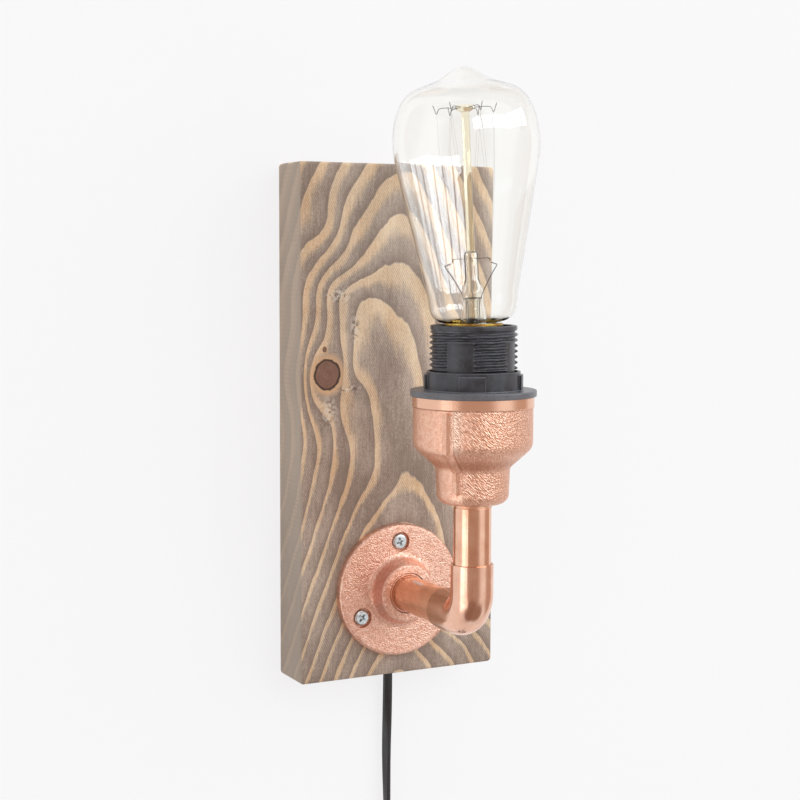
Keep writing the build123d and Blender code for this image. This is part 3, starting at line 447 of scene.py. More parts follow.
# Twist tie: a flat strip with a wire in its middle, round the loops, its ends twisted together
tie = {
    "wide": 4.0, "thick": 0.5, "ridge": 0.35, "shares": (0.35, 0.3, 0.35), "square": 0.45,
    "twists": 26, "step": 0.42, "turn": 38, "end": (1.1, 2.6), "sides": 72,
}
low, high = (Vector(c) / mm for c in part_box("coil_tie"))
middle, reach = (low + high) / 2, (high - low) / 2
foot = (0, 0, -tie["wide"] / 2 * mm)
tiePiece = begin(bpy.ops.mesh.primitive_circle_add, vertices=tie["sides"], radius=1 * mm, location=foot)
setMode(mode="EDIT")
for share in tie["shares"]:
    pullUp(tie["wide"] * share)
setMode(mode="OBJECT")
for vertex in tiePiece.data.vertices:
    # a round-cornered box, as the strip is drawn tight over the loops
    angle = math.atan2(vertex.co.y, vertex.co.x)
    c, s = math.cos(angle), math.sin(angle)
    dent = 0.0 if abs(vertex.co.z) < 0.2 * tie["wide"] * mm else tie["ridge"]
    vertex.co.x = (reach.x - dent) * math.copysign(abs(c) ** tie["square"], c) * mm
    vertex.co.y = (reach.y - dent) * math.copysign(abs(s) ** tie["square"], s) * mm
thicken(tiePiece, tie["thick"])
deselectAll()
bpy.ops.mesh.primitive_plane_add(size=1 * mm, rotation=(0, math.pi / 2, 0), location=(-reach.x * mm, 0, 0))
tieEnds = bpy.context.object
tieEnds.scale = (*tie["end"], 1)
bpy.ops.object.transform_apply()
setMode(mode="EDIT")
for step in range(tie["twists"]):
    bpy.ops.mesh.extrude_region_move(TRANSFORM_OT_translate={"value": (-tie["step"] * mm, 0, 0)})
    bpy.ops.transform.rotate(value=math.radians(tie["turn"]), orient_axis="X", center_override=(0, 0, 0))
facesOut()
joinTo(tiePiece, tieEnds)
tiePiece.location = middle * mm
finishPiece(tiePiece, "coilTie", cordPvc, "lamp", ("coil_tie",), 40)

# Plug: moulded body with grip ribs across each face, and a ribbed, tapered strain relief
plug = {
    "width": 35.0, "thick": 12.8, "neck": 18.0, "neckThin": 0.86, "top": -348.4, "shoulder": -362.4,
    "low": -373.4, "y": -9.2, "rounds": (2.4, 1.6), "grips": 5, "grip": (24.0, 13.6, 0.9), "gripLow": 2.9,
    "gripStep": 1.5, "gripRound": 0.3, "reliefLow": (4.9, -349.5), "reliefTop": (3.1, -323.5),
    "reliefFlat": 0.76, "ribs": 6, "ribDeep": 0.75, "ribFade": 0.6, "endRound": 0.2,
    "ribCut": ((0.04, 0), (0.56, 0), (0.62, 1), (0.94, 1)),
}
p = plug
plugPlace = Vector((r["tailX"], p["y"], 0)) * mm
plugPiece = block((p["width"], p["thick"], p["shoulder"] - p["low"]), (p["shoulder"] + p["low"]) / 2)
setMode(mode="EDIT")
pick(plugPiece, "FACE", lambda f: f.normal.z > 0.9)
pullUp(p["top"] - p["shoulder"], faces=True)
bpy.ops.transform.resize(value=(p["neck"] / p["width"], p["neckThin"], 1), center_override=(0, 0, 0))
pick(plugPiece, "EDGE", lambda e: abs(e.verts[0].co.y - e.verts[1].co.y) > 5 * mm)
bpy.ops.mesh.bevel(offset=p["rounds"][0] * mm, segments=4, profile=0.5)
pick(plugPiece, "EDGE", lambda e: len(e.link_faces) == 2 and e.calc_face_angle() > 1.0)
bpy.ops.mesh.bevel(offset=p["rounds"][1] * mm, segments=4, profile=0.5)
setMode(mode="OBJECT")
for rib in range(p["grips"]):
    bar = block(p["grip"], p["low"] + p["gripLow"] + p["gripStep"] * rib)
    soft = bar.modifiers.new("soft", "BEVEL")
    soft.width, soft.segments = p["gripRound"] * mm, 2
    bpy.ops.object.modifier_apply(modifier=soft.name)
    joinTo(plugPiece, bar)
plugPiece.location = plugPlace
finishPiece(plugPiece, "plugBody", cordPvc, "lamp", ("plug_body",), 40)
(lowRadius, lowZ), (topRadius, topZ) = p["reliefLow"], p["reliefTop"]
rings = [(lowRadius, lowZ)]
for rib in range(p["ribs"]):
    for share, cut in p["ribCut"]:
        along = (rib + share) / p["ribs"]
        radius = lowRadius + (topRadius - lowRadius) * along - cut * p["ribDeep"] * (1 - p["ribFade"] * along)
        rings.append((radius, lowZ + (topZ - lowZ) * along))
rings.append((topRadius - p["endRound"], topZ))
reliefPiece = turnRings(rings, 40, closeTop=True, closeLow=True)
for vertex in reliefPiece.data.vertices:
    vertex.co.y *= p["reliefFlat"] + (1 - p["reliefFlat"]) * (vertex.co.z / mm - lowZ) / (topZ - lowZ)
reliefPiece.location = plugPlace
finishPiece(reliefPiece, "plugRelief", cordPvc, "lamp", ("plug_body",), 40)
print("cord laid,", round(cordLength, 3), "m, with its tie and plug")

# The same cord inside the lamp: holder, riser, elbow, arm, then down the board's channel
insideRoute = [
    (-1.6, -99.5, 8.5), (-1.6, -99.5, -40.0), (-1.6, -99.5, -66.0), (-1.6, -99.0, -81.0),
    (-1.6, -84.0, -82.3), (-1.6, -50.0, -82.3), (-1.6, -22.0, -82.3), (-1.6, -6.0, -82.5),
    (-1.2, -4.2, -94.0), (3.2, -4.2, -104.0), (4.2, -4.2, -112.0), (4.2, -4.2, -121.0),
]
insidePlaces = splinePoints(insideRoute, "insideLine")
cordInside = flatTube("cordInside", insidePlaces, lambda place: Vector((1, 0, 0)))
finishPiece(cordInside, "cordInside", cordPvc, "lamp", ("cord_inner",))

# Wire-brushed, grey-brown stained pine: tan bands in arches, sharp on their outer edge, a knot, fine streaks
boardGrain = {
    "pith": 1.0, "slow": 37.0, "slowMid": 17.0, "slowSpan": 51.0, "low": 10.0, "high": 80.0,
    "leftSlope": (2.7, 1.9), "rightSlope": (1.7, 1.6), "leftRound": 20.0, "rightRound": 9.0,
    "bends": {  # place x and z, spread across and along, and depth, mm
        "knot": (-45, 22, 10, 20, -42), "underKnot": (-30, 8, 6, 16, -15),
        "besideKnot": (-23, 28, 6, 11, -17), "scar": (-32, 63, 15, 11, -20),
        "heartLeft": (-28, 46, 13, 15, -19), "heartTop": (-16, 52, 11, 19, -14),
        "heart": (-13, 27, 10, 17, -13), "lowArch": (-9, -31, 20, 25, 14),
        "topLeft": (-40, 95, 10, 14, 13), "lowRight": (19, -86, 30, 22, 22),
    },
    "waves": ((14, 40, 6.0), (3, 12, 2.5)),  # width, length and swing of the bands' unevenness, mm
    "ring": 19.0, "start": 10.0, "depth": 1.4,
    "share": (0.68, 0.34), "fade": (0.17, 0.38),  # where in a ring the tan starts, low and high up
    "fibre": (0.6, 8.0), "patch": (9.0, 24.0), "cloud": (18.0, 46.0),  # width and length, mm
    "grit": 0.7, "crumb": 1.8, "crack": 3.5, "brushTurn": 28.0, "brushStep": 1.0, "brushPatch": 20.0,
    "knots": ((-39.0, 24.3, 6.7, 7.3), (-40.3, 36.4, 1.1, 1.3)),  # place, half width and half height, mm
    "chips": ((-33, 62.0, 6.0, 3.4), (-24.4, 46.5, 2.2, 5.5), (-28, 17.2, 6.5, 1.3), (-38.0, 7.0, 3.6, 6.0)),
    "deep": "#837267", "dark": ("#938377", "#c4b4a6"), "tan": ("#d5b590", "#eedabd"), "side": "#a3978b",
    "knotCore": ("#6f5144", "#977665"), "knotRim": "#4f3e37", "halo": "#d8b38c",
    "chipPale": "#ded6cb", "chipDark": "#5d4f46", "brushMark": "#6a564a",
    "sideFrom": (52.2, 52.7), "paleFrom": (-85.0, -15.0), "paled": 1.17,
}


def makeBoardWood():
    g = boardGrain
    material, add, at = startMaterial("BrushedStainedPine")
    x, y, z = add("SeparateXYZ", [at]).node.outputs
    # ring field: the height along the board, slowed at mid height
    up = add("Math", [z, g["slowMid"]], "SUBTRACT")
    up = add("Math", [up, g["slowSpan"]], "DIVIDE")
    up = add("Math", [up], "TANH")
    field = add("Math", [up, -g["slow"], z], "MULTIPLY_ADD")
    # arches: a hyperbola on each side of the pith, flatter or steeper with height
    u = add("Math", [x, g["pith"]], "SUBTRACT")
    onLeft = add("Math", [u, 0.0], "LESS_THAN")
    slopes = [
        add("MapRange", [z, g["low"], g["high"], *g[hand]], "SMOOTHSTEP")
        for hand in ("rightSlope", "leftSlope")
    ]
    slope = add("Mix", [onLeft, *slopes], "FLOAT")
    rounded = add("Mix", [onLeft, g["rightRound"], g["leftRound"]], "FLOAT")
    square = add("Math", [u, u], "MULTIPLY")
    square = add("Math", [rounded, rounded, square], "MULTIPLY_ADD")
    reach = add("Math", [square], "SQRT")
    reach = add("Math", [reach, rounded], "SUBTRACT")
    field = add("Math", [reach, slope, field], "MULTIPLY_ADD")

    def offCentre(cx, cz, wide, tall):
        # distance from a point on the face, 1 on an ellipse of that half width and half height
        dx = add("Math", [x, 1 / wide, -cx / wide], "MULTIPLY_ADD")
        dz = add("Math", [z, 1 / tall, -cz / tall], "MULTIPLY_ADD")
        far = add("Math", [dx, dx], "MULTIPLY")
        return add("Math", [dz, dz, far], "MULTIPLY_ADD")

    # the grain bends round the knot and the scar above it
    for cx, cz, wide, tall, deep in g["bends"].values():
        far = add("Math", [offCentre(cx, cz, wide, tall), -1.0], "MULTIPLY")
        bend = add("Math", [far], "EXPONENT")
        field = add("Math", [bend, deep, field], "MULTIPLY_ADD")
    def grainNoise(wide, tall, detail, rough=0.5):
        spot = add("Mapping", {"Vector": at, "Scale": (1 / wide, 1 / wide, 1 / tall)})
        return add("TexNoise", [spot, 1.0, detail, rough])

    # rings run into the depth, so the edges show straight lines; two noises keep the bands from being even
    field = add("Math", [y, g["depth"], field], "MULTIPLY_ADD")
    for wide, tall, swing in g["waves"]:
        wave = add("Math", [grainNoise(wide, tall, 1.0), 0.5], "SUBTRACT")
        field = add("Math", [wave, swing, field], "MULTIPLY_ADD")
    # fine fibres fray the bands' inner edges
    fibre = grainNoise(*g["fibre"], 3.0, 0.65)
    offset = -(g["slow"] + g["start"] + g["depth"] * lamp["boardFront"]) / g["ring"]
    ring = add("Math", [field, 1 / g["ring"], offset], "MULTIPLY_ADD")
    turn = add("Math", [ring], "FRACT")
    frayed = add("Math", [fibre, 0.22, -0.11], "MULTIPLY_ADD")
    frayed = add("Math", [frayed, turn], "ADD")
    uneven = add("Math", [grainNoise(*g["patch"], 1.0), 0.4, -0.2], "MULTIPLY_ADD")
    span = []
    for low, high in (g["share"], [a + b for a, b in zip(g["share"], g["fade"])]):
        edge = add("MapRange", [z, -40.0, 50.0, low, high], "SMOOTHSTEP")
        span.append(add("Math", [edge, uneven], "ADD"))
    late = add("MapRange", [frayed, *span, 0.0, 1.0], "SMOOTHSTEP")
    edge = add("MapRange", [turn, 0.965, 1.0, 1.0, 0.0])
    band = add("Math", [late, edge], "MULTIPLY")
    deep = add("MapRange", [frayed, 0.0, 0.34, 0.6, 0.0])
    # colours: cloudy stain over both woods, streaked by the fibres
    streak = add("Math", [fibre, 1.2, -0.6], "MULTIPLY_ADD")
    cloud = add("MapRange", [grainNoise(*g["cloud"], 4.0), 0.3, 0.7, 0.0, 1.0])
    cloud = add("Math", [cloud, streak], "ADD")
    grit = add("TexNoise", [at, 1 / g["grit"], 2.0])
    cloud = add("Math", [grit, 1.4, cloud], "MULTIPLY_ADD")
    cloud = add("Math", [cloud, 0.7], "SUBTRACT", use_clamp=True)
    woods = [add("Mix", [cloud, *g[key]], "RGBA") for key in ("dark", "tan")]
    early = add("Mix", [deep, woods[0], g["deep"]], "RGBA")
    colour = add("Mix", [band, early, woods[1]], "RGBA")
    # slanting brush marks in patches; a wave texture of scale 0.314 repeats every millimetre
    brush = add("Mapping", {"Vector": at, "Rotation": (0, math.radians(g["brushTurn"]), 0)})
    marks = [brush, 0.314 / g["brushStep"], 1.5, 2.0]
    brush = add("TexWave", marks, out="Fac", wave_type="BANDS", bands_direction="X")
    where = add("TexNoise", [at, 1 / g["brushPatch"]])
    where = add("MapRange", [where, 0.36, 0.56, 0.0, 0.32])
    brush = add("Math", [brush, where], "MULTIPLY")
    colour = add("Mix", [brush, colour, g["brushMark"]], "RGBA")
    # torn chips by the knot and the scar: pale wood with dark cracks
    crumb = add("TexNoise", [at, 1 / g["crumb"], 3.0])
    torn = 0.0
    for chip in g["chips"]:
        far = add("Math", [offCentre(*chip), -1.0], "MULTIPLY")
        spot = add("Math", [far], "EXPONENT")
        torn = add("Math", [spot, torn], "ADD")
    for (low, high), tone in (((0.5, 0.58), "chipPale"), ((0.45, 0.38), "chipDark")):
        bit = add("MapRange", [crumb, low, high, 0.0, 0.85])
        bit = add("Math", [bit, torn], "MULTIPLY", use_clamp=True)
        colour = add("Mix", [bit, colour, g[tone]], "RGBA")
    # knot and bud
    crack = add("TexNoise", [at, 1 / g["crack"], 3.0])
    sunk = 0.0
    for knot in g["knots"]:
        far = add("Math", [offCentre(*knot)], "SQRT")
        far = add("Math", [crack, 0.3, far], "MULTIPLY_ADD")
        far = add("Math", [far, 0.15], "SUBTRACT")
        rings = add("Math", [far, 26.0], "MULTIPLY")
        rings = add("Math", [rings], "SINE")
        rings = add("Math", [rings, 0.07, crack], "MULTIPLY_ADD", use_clamp=True)
        core = add("Mix", [rings, *g["knotCore"]], "RGBA")
        halo = add("MapRange", [far, 1.1, 1.55, 0.9, 0.0])
        rim = add("MapRange", [far, 1.0, 1.08, 1.0, 0.0])
        heart = add("MapRange", [far, 0.84, 0.93, 1.0, 0.0])
        colour = add("Mix", [halo, colour, g["halo"]], "RGBA")
        colour = add("Mix", [rim, colour, g["knotRim"]], "RGBA")
        colour = add("Mix", [heart, colour, core], "RGBA")
        groove = add("Math", [rim, heart], "SUBTRACT")
        sunk = add("Math", [groove, sunk], "ADD")
    # the sawn sides took the stain greyer
    outer = add("Math", [x], "ABSOLUTE")
    outer = add("MapRange", [outer, *g["sideFrom"], 0.0, 0.82])
    colour = add("Mix", [outer, colour, g["side"]], "RGBA")
    # paler above the flange
    paled = add("MapRange", [z, *g["paleFrom"], 1.0, g["paled"]])
    colour = add("VectorMath", [colour, paled], "SCALE")
    # brushed late wood stands proud of the early wood; the knot's edge is sunk
    relief = add("Math", [band, 0.5, fibre], "MULTIPLY_ADD")
    relief = add("Math", [sunk, -1.2, relief], "MULTIPLY_ADD")
    bump = add("Bump", {"Height": relief, "Strength": 0.55, "Distance": 0.3 * mm})
    finish = {"Base Color": colour, "Roughness": 0.72, "IOR": 1.45, "Specular IOR Level": 0.35}
    finish["Normal"] = bump
    add("OutputMaterial", [add("BsdfPrincipled", finish)])
    return material


boardWood = makeBoardWood()

# Copper paint over a sand casting: bright, rough to the touch; one mould half left short slanting ridges
castLook = {
    # the second colour of each look is painted shade, laid in the hollows of the grit and the ridges
    "flange": {"colour": "#ffd7c4", "paintedHollowShade": "#e3aa90", "grit": 0.75, "swell": 2.0, "deep": 0.52},
    "socket": {"colour": "#f6c8b0", "paintedHollowShade": "#e0a88b", "grit": 0.7, "swell": 2.4, "deep": 0.24},
    "ridge": (0.42, 2.2), "slant": 42.0, "ribTurn": 216.0, "ridgedFrom": (1.5, 3.0), "fillet": (2.4, 6.5),
    # the bright colour beside the rib is a painted highlight
    "rim": (14.0, 14.3), "rimColour": "#efbea2", "paintedRibHighlightSpan": (4.5, 7.5), "bell": (-6.0, -3.0),
    # the cove colour is painted shade under the bell
    "paintedRibHighlight": "#ffe0cb", "paintedCoveShade": (-10.5, 2.6), "paintedCoveShadeColour": "#bd8566",
    # the flank colour is painted shade on the hub's side away from the light
    "hub": (17.2, 18.6), "paintedShadeFacing": (-0.97, 0.0, 0.25), "paintedFlankShadeColour": "#b87964",
}


def makeCastCopper(name, look, ridged):
    c = castLook
    material, add, at = startMaterial(name)
    grit = add("TexNoise", [at, 1 / look["grit"], 2.0])
    swell = add("TexNoise", [at, 1 / look["swell"], 1.0])
    height = add("Math", [swell, 0.6, grit], "MULTIPLY_ADD")
    raised = add("MapRange", [height, 0.58, 1.02, 0.0, 1.0])
    if ridged:
        along = heading(towardCamera + 90, -c["slant"])
        turn = along.rotation_difference(Vector((0, 0, 1))).to_euler()
        spot = add("Mapping", {"Vector": at, "Rotation": turn})
        across, length = c["ridge"]
        spot = add("Mapping", {"Vector": spot, "Scale": (1 / across, 1 / across, 1 / length)})
        ridge = add("TexNoise", [spot, 1.0, 0.0])
        # the ridged half lies to one side of the two casting ribs, past a soft fillet
        aside = add("VectorMath", [at, lampFoot], "SUBTRACT")
        aside = add("VectorMath", [aside, heading(c["ribTurn"] + 90, 0)], "DOT_PRODUCT")
        half = add("MapRange", [aside, *c["ridgedFrom"], 0.0, 1.0])
        crest = add("MapRange", [ridge, 0.36, 0.62, 0.0, 1.0])
        raised = add("Mix", [half, raised, crest], "FLOAT")
        ridge = add("Math", [ridge, half], "MULTIPLY")
        height = add("Math", [ridge, 1.8, height], "MULTIPLY_ADD")
        # the turned rim above the casting is smooth
        level = add("SeparateXYZ", [at], out="Z")
        cast = add("MapRange", [level, *c["rim"], 1.0, 0.03])
        height = add("Math", [height, cast], "MULTIPLY")
        fillet = add("MapRange", [aside, *c["fillet"], 1.0, 0.0])
        fillet = add("Math", [fillet, 2.0], "POWER")
        fillet = add("Math", [fillet, cast], "MULTIPLY")
        height = add("Math", [fillet, 9.0, height], "MULTIPLY_ADD")
    # painted shade: the hollows of the grit and the ridges take the darker colour, the raised parts the
    # bright one
    colour = add("Mix", [raised, look["paintedHollowShade"], look["colour"]], "RGBA")
    rough = add("MapRange", [raised, 0.0, 1.0, 0.42, 0.28])
    if ridged:
        colour = add("Mix", [cast, c["rimColour"], colour], "RGBA")
        rough = add("Mix", [cast, 0.2, rough], "FLOAT")
        # painted highlight: a bright band on the bell beside the rib, past the fillet
        paintedRibHighlight = add("MapRange", [aside, *c["paintedRibHighlightSpan"], 0.7, 0.0])
        paintedRibHighlight = add("Math", [half, paintedRibHighlight], "MULTIPLY")
        bell = add("MapRange", [level, *c["bell"], 0.0, 1.0])
        bell = add("Math", [bell, cast], "MULTIPLY")
        paintedRibHighlight = add("Math", [bell, paintedRibHighlight], "MULTIPLY")
        colour = add("Mix", [paintedRibHighlight, colour, c["paintedRibHighlight"]], "RGBA")
        # painted shade in the concave turn under the bell, where the cone meets the neck
        middle, tall = c["paintedCoveShade"]
        paintedCoveShade = add("Math", [level, 1 / tall, -middle / tall], "MULTIPLY_ADD")
        paintedCoveShade = add("Math", [paintedCoveShade, paintedCoveShade], "MULTIPLY")
        paintedCoveShade = add("MapRange", [paintedCoveShade, 0.0, 1.0, 0.5, 0.0])
        colour = add("Mix", [paintedCoveShade, colour, c["paintedCoveShadeColour"]], "RGBA")
    else:
        # painted shade: the side of the hub's flank that faces away from the light is darkened
        facing = add("NewGeometry", out="Normal")
        paintedFlankShade = add("VectorMath", [facing, c["paintedShadeFacing"]], "DOT_PRODUCT")
        paintedFlankShade = add("MapRange", [paintedFlankShade, 0.3, 0.92, 0.0, 0.85])
        aside = add("VectorMath", [at, (lamp["x"], 0.0, lamp["armZ"])], "SUBTRACT")
        aside = add("VectorMath", [aside, (1.0, 0.0, 1.0)], "MULTIPLY")
        aside = add("VectorMath", [aside], "LENGTH")
        hub = add("MapRange", [aside, *c["hub"], 1.0, 0.0])
        paintedFlankShade = add("Math", [paintedFlankShade, hub], "MULTIPLY")
        colour = add("Mix", [paintedFlankShade, colour, c["paintedFlankShadeColour"]], "RGBA")
    bump = add("Bump", {"Height": height, "Strength": 0.9, "Distance": look["deep"] * mm})
    finish = {"Base Color": colour, "Metallic": 0.9, "Roughness": rough, "Normal": bump}
    add("OutputMaterial", [add("BsdfPrincipled", finish)])
    return material


flangeCopper = makeCastCopper("CopperPaintedCasting", castLook["flange"], False)
socketCopper = makeCastCopper("CopperPaintedRidgedCasting", castLook["socket"], True)

# Copper tube: drawn and polished on the riser and elbow, duller and redder with draw scratches on the arm
tubeLook = {
    "polished": {"colour": "#f3c3a8", "tarnish": "#dea182", "rough": 0.12, "scratch": 0.12},
    "bent": {"colour": "#f3c5ad", "tarnish": "#dfa78b", "rough": 0.13, "scratch": 0.18},
    "raw": {"colour": "#fbcdb0", "tarnish": "#e3aa88", "rough": 0.22, "scratch": 0.3},
    "drawn": (0.35, 14.0), "stain": 9.0, "wave": 7.0,  # width and length of a scratch, then patch sizes, mm
    "solder": {"spot": (-4.4, -53.0, -74.2), "reach": (1.0, 5.6, 1.0), "colour": "#e9e4e2"},
}


def makeTubeCopper(name, look, lengthwise):
    material, add, at = startMaterial(name)
    wide, tall = tubeLook["drawn"]
    stretch = [1 / wide] * 3
    stretch[lengthwise] = 1 / tall
    spot = add("Mapping", {"Vector": at, "Scale": stretch})
    scratch = add("TexNoise", [spot, 1.0, 3.0])
    stain = add("TexNoise", [at, 1 / tubeLook["stain"], 4.0])
    worn = add("Math", [scratch, look["scratch"] * 1.5, stain], "MULTIPLY_ADD")
    worn = add("MapRange", [worn, 0.5, 0.95, 0.0, 1.0])
    colour = add("Mix", [worn, look["colour"], look["tarnish"]], "RGBA")
    rough = add("Math", [worn, look["scratch"], look["rough"]], "MULTIPLY_ADD")
    if look is tubeLook["raw"]:
        # a run of solder on the arm
        solder = tubeLook["solder"]
        run = add("VectorMath", [at, solder["spot"]], "SUBTRACT")
        run = add("VectorMath", [run, solder["reach"]], "DIVIDE")
        run = add("VectorMath", [run], "LENGTH")
        run = add("Math", [stain, 1.2, run], "MULTIPLY_ADD")
        run = add("MapRange", [run, 1.35, 1.6, 1.0, 0.0])
        colour = add("Mix", [run, colour, solder["colour"]], "RGBA")
    wave = add("TexNoise", [at, 1 / tubeLook["wave"]])
    wave = add("Math", [scratch, look["scratch"] * 0.3, wave], "MULTIPLY_ADD")
    bump = add("Bump", {"Height": wave, "Strength": 0.3, "Distance": 0.15 * mm})
    finish = {"Base Color": colour, "Metallic": 1.0, "Roughness": rough, "Normal": bump}
    add("OutputMaterial", [add("BsdfPrincipled", finish)])
    return material


riserCopper = makeTubeCopper("PolishedCopperTube", tubeLook["polished"], 2)
elbowCopper = makeTubeCopper("BentCopperTube", tubeLook["bent"], 2)
armCopper = makeTubeCopper("DrawnCopperTube", tubeLook["raw"], 1)

# Black glass-filled nylon: moulded, satin, a fine spark-eroded texture and edges painted paler as highlights
nylonLook = {
    # the dust colour is dust with painted sheen, the edge colour a painted highlight
    "deep": "#2d2e33", "pale": "#43454d", "dustAndSheen": "#85868b", "edge": "#9a9ba1", "texture": 0.35, "smear": 5.0,
    "dustAndSheenTop": (21.8, 22.1), "rounded": 0.4,
}
holderNylon, add, at = startMaterial("BlackMouldedNylon")
speck = add("TexNoise", [at, 1 / nylonLook["texture"], 2.0])
smear = add("TexNoise", [at, 1 / nylonLook["smear"], 3.0])
tone = add("MapRange", [smear, 0.35, 0.7, 0.0, 1.0])
tone = add("Mix", [tone, nylonLook["deep"], nylonLook["pale"]], "RGBA")
# dust and painted sheen: the shade ring's flange and the nylon below it are paler in specks
level = add("SeparateXYZ", [at], out="Z")
dustAndSheen = add("MapRange", [level, *nylonLook["dustAndSheenTop"], 0.85, 0.0])
dustAndSheen = add("Math", [dustAndSheen, speck], "MULTIPLY")
tone = add("Mix", [dustAndSheen, tone, nylonLook["dustAndSheen"]], "RGBA")
rough = add("MapRange", [smear, 0.3, 0.7, 0.26, 0.42])
soften = add("Bevel", {"Radius": nylonLook["rounded"] * mm}, samples=4)
# painted highlight: edges are paler where the softened surface turns away from the face
flat = add("NewGeometry", out="Normal")
edge = add("VectorMath", [soften, flat], "DOT_PRODUCT")
edge = add("MapRange", [edge, 0.99, 0.85, 0.0, 0.9])
tone = add("Mix", [edge, tone, nylonLook["edge"]], "RGBA")
bump = add("Bump", {"Height": speck, "Strength": 0.3, "Distance": 0.06 * mm, "Normal": soften})
finish = {"Base Color": tone, "Roughness": rough, "IOR": 1.53, "Normal": bump}
add("OutputMaterial", [add("BsdfPrincipled", finish)])


def makeMetal(name, bright, dull, rough, grain):
    material, add, at = startMaterial(name)
    cloud = add("TexNoise", [at, 1 / grain, 4.0])
    worn = add("MapRange", [cloud, 0.35, 0.7, 0.0, 1.0])
    colour = add("Mix", [worn, bright, dull], "RGBA")
    gloss = add("MapRange", [cloud, 0.3, 0.7, rough, rough + 0.16])
    bump = add("Bump", {"Height": cloud, "Strength": 0.15, "Distance": 0.05 * mm})
    finish = {"Base Color": colour, "Metallic": 1.0, "Roughness": gloss, "Normal": bump}
    add("OutputMaterial", [add("BsdfPrincipled", finish)])
    return material


zincSteel = makeMetal("ZincPlatedSteel", "#e3e7e8", "#c3cacc", 0.24, 1.6)  # cool, bright, slightly cloudy
sheetBrass = makeMetal("RolledSheetBrass", "#e8c66a", "#c99a3e", 0.16, 2.4)  # yellow, lightly tarnished
tinSolder = makeMetal("TinSolder", "#d4d4d2", "#b2b2b0", 0.3, 1.2)  # grey, soft shine
strandCopper = makeMetal("BareCopperStrand", "#d8946b", "#b06a45", 0.25, 0.8)  # brown-red, bare
wireNickel = makeMetal("NickelIronWire", "#776a5f", "#4f443c", 0.3, 0.6)  # dull grey-brown lead-in wire

# Glazed steatite: white-grey fired ceramic, smooth with small dark specks
steatite, add, at = startMaterial("GlazedSteatite")
speck = add("TexNoise", [at, 1 / 0.7, 2.0])
speck = add("MapRange", [speck, 0.68, 0.74, 0.0, 0.5])
tone = add("Mix", [speck, "#e6e2d8", "#8f887c"], "RGBA")
add("OutputMaterial", [add("BsdfPrincipled", {"Base Color": tone, "Roughness": 0.28, "IOR": 1.6})])

# Black vitrite: cast glass insulator, deep and shiny with flow lines
vitrite, add, at = startMaterial("BlackVitrite")
flow = add("TexNoise", {"Vector": at, "Scale": 1 / 3, "Distortion": 1.0})
tone = add("Mix", [flow, "#141416", "#2c2a30"], "RGBA")
add("OutputMaterial", [add("BsdfPrincipled", {"Base Color": tone, "Roughness": 0.12, "IOR": 1.55})])


def makeGlass(name, tint, wave):
    # blown soda-lime glass: clear, faintly warm, slightly uneven so that reflections waver
    material, add, at = startMaterial(name)
    uneven = add("TexNoise", [at, 1 / wave, 1.0])
    bump = add("Bump", {"Height": uneven, "Strength": 0.2, "Distance": 0.12 * mm})
    finish = {"Base Color": tint, "Roughness": 0.0, "IOR": 1.5, "Transmission Weight": 1.0, "Normal": bump}
    add("OutputMaterial", [add("BsdfPrincipled", finish)])
    return material


bulbGlassLook = makeGlass("BlownSodaGlass", "#fffffd", 16.0)
stemGlassLook = makeGlass("PressedLeadGlass", "#fefcf6", 5.0)
rodGlassLook = makeGlass("AmberGlassRod", "#fff8e0", 6.0)

# Carbonised thread: matt brown, so fine that it shows paler than it is
carbon, add, at = startMaterial("CarbonisedThread")
fuzz = add("TexNoise", [at, 1 / 0.4])
tone = add("Mix", [fuzz, "#85745f", "#b7a589"], "RGBA")
add("OutputMaterial", [add("BsdfPrincipled", {"Base Color": tone, "Roughness": 0.6})])

nodeFinish = {
    boardWood: ("back_board",),
    flangeCopper: ("pipe_flange",),
    socketCopper: ("reducing_socket",),
    riserCopper: ("riser_tube",),
    elbowCopper: ("elbow",),
    armCopper: ("arm_tube", "riser_joint"),
    holderNylon: ("holder_base", "shade_ring", "neck_bush"),
    steatite: ("holder_insert",),
    sheetBrass: ("screw_shell", "centre_contact", "terminal_1", "terminal_2"),
    zincSteel: ("hanger_plate", "nipple", "lock_nut", "inner_nut", "terminal_screw_1", "terminal_screw_2",
                "plug_pin_1", "plug_pin_2"),
    tinSolder: ("bulb_tip",),
    vitrite: ("bulb_insulator",),
    strandCopper: ("conductor_1", "conductor_2"),
    cordPvc: ("cord_saddle",),
}
for material, names in nodeFinish.items():
    for name in names:
        cadNodes[name].data.materials.clear()
        cadNodes[name].data.materials.append(material)
print("finishes on", sum(len(names) for names in nodeFinish.values()), "nodes")

# Soldered rim: the end of the threaded piece that holds the arm, a little inside the flange's mouth
mouthRim = {"inner": 8.63, "outer": 9.7, "rise": 2.75, "round": 0.25, "floor": 10.0, "sides": 72}
m = mouthRim
edge = m["rise"] - m["round"]
rimPiece = turnRings(
    [
        (m["inner"], 0.0), (m["outer"], 0.0), (m["outer"], edge), (m["outer"] - m["round"], m["rise"]),
        (m["inner"] + m["round"], m["rise"]), (m["inner"], edge), (m["inner"], 0.0),
    ],
    m["sides"],
)
rimPiece.rotation_euler = (math.radians(90), 0, 0)
rimPiece.location = Vector((lamp["x"], lamp["boardFront"] - m["floor"], lamp["armZ"])) * mm
finishPiece(rimPiece, "mouthRim", flangeCopper, "lamp", (), 40)

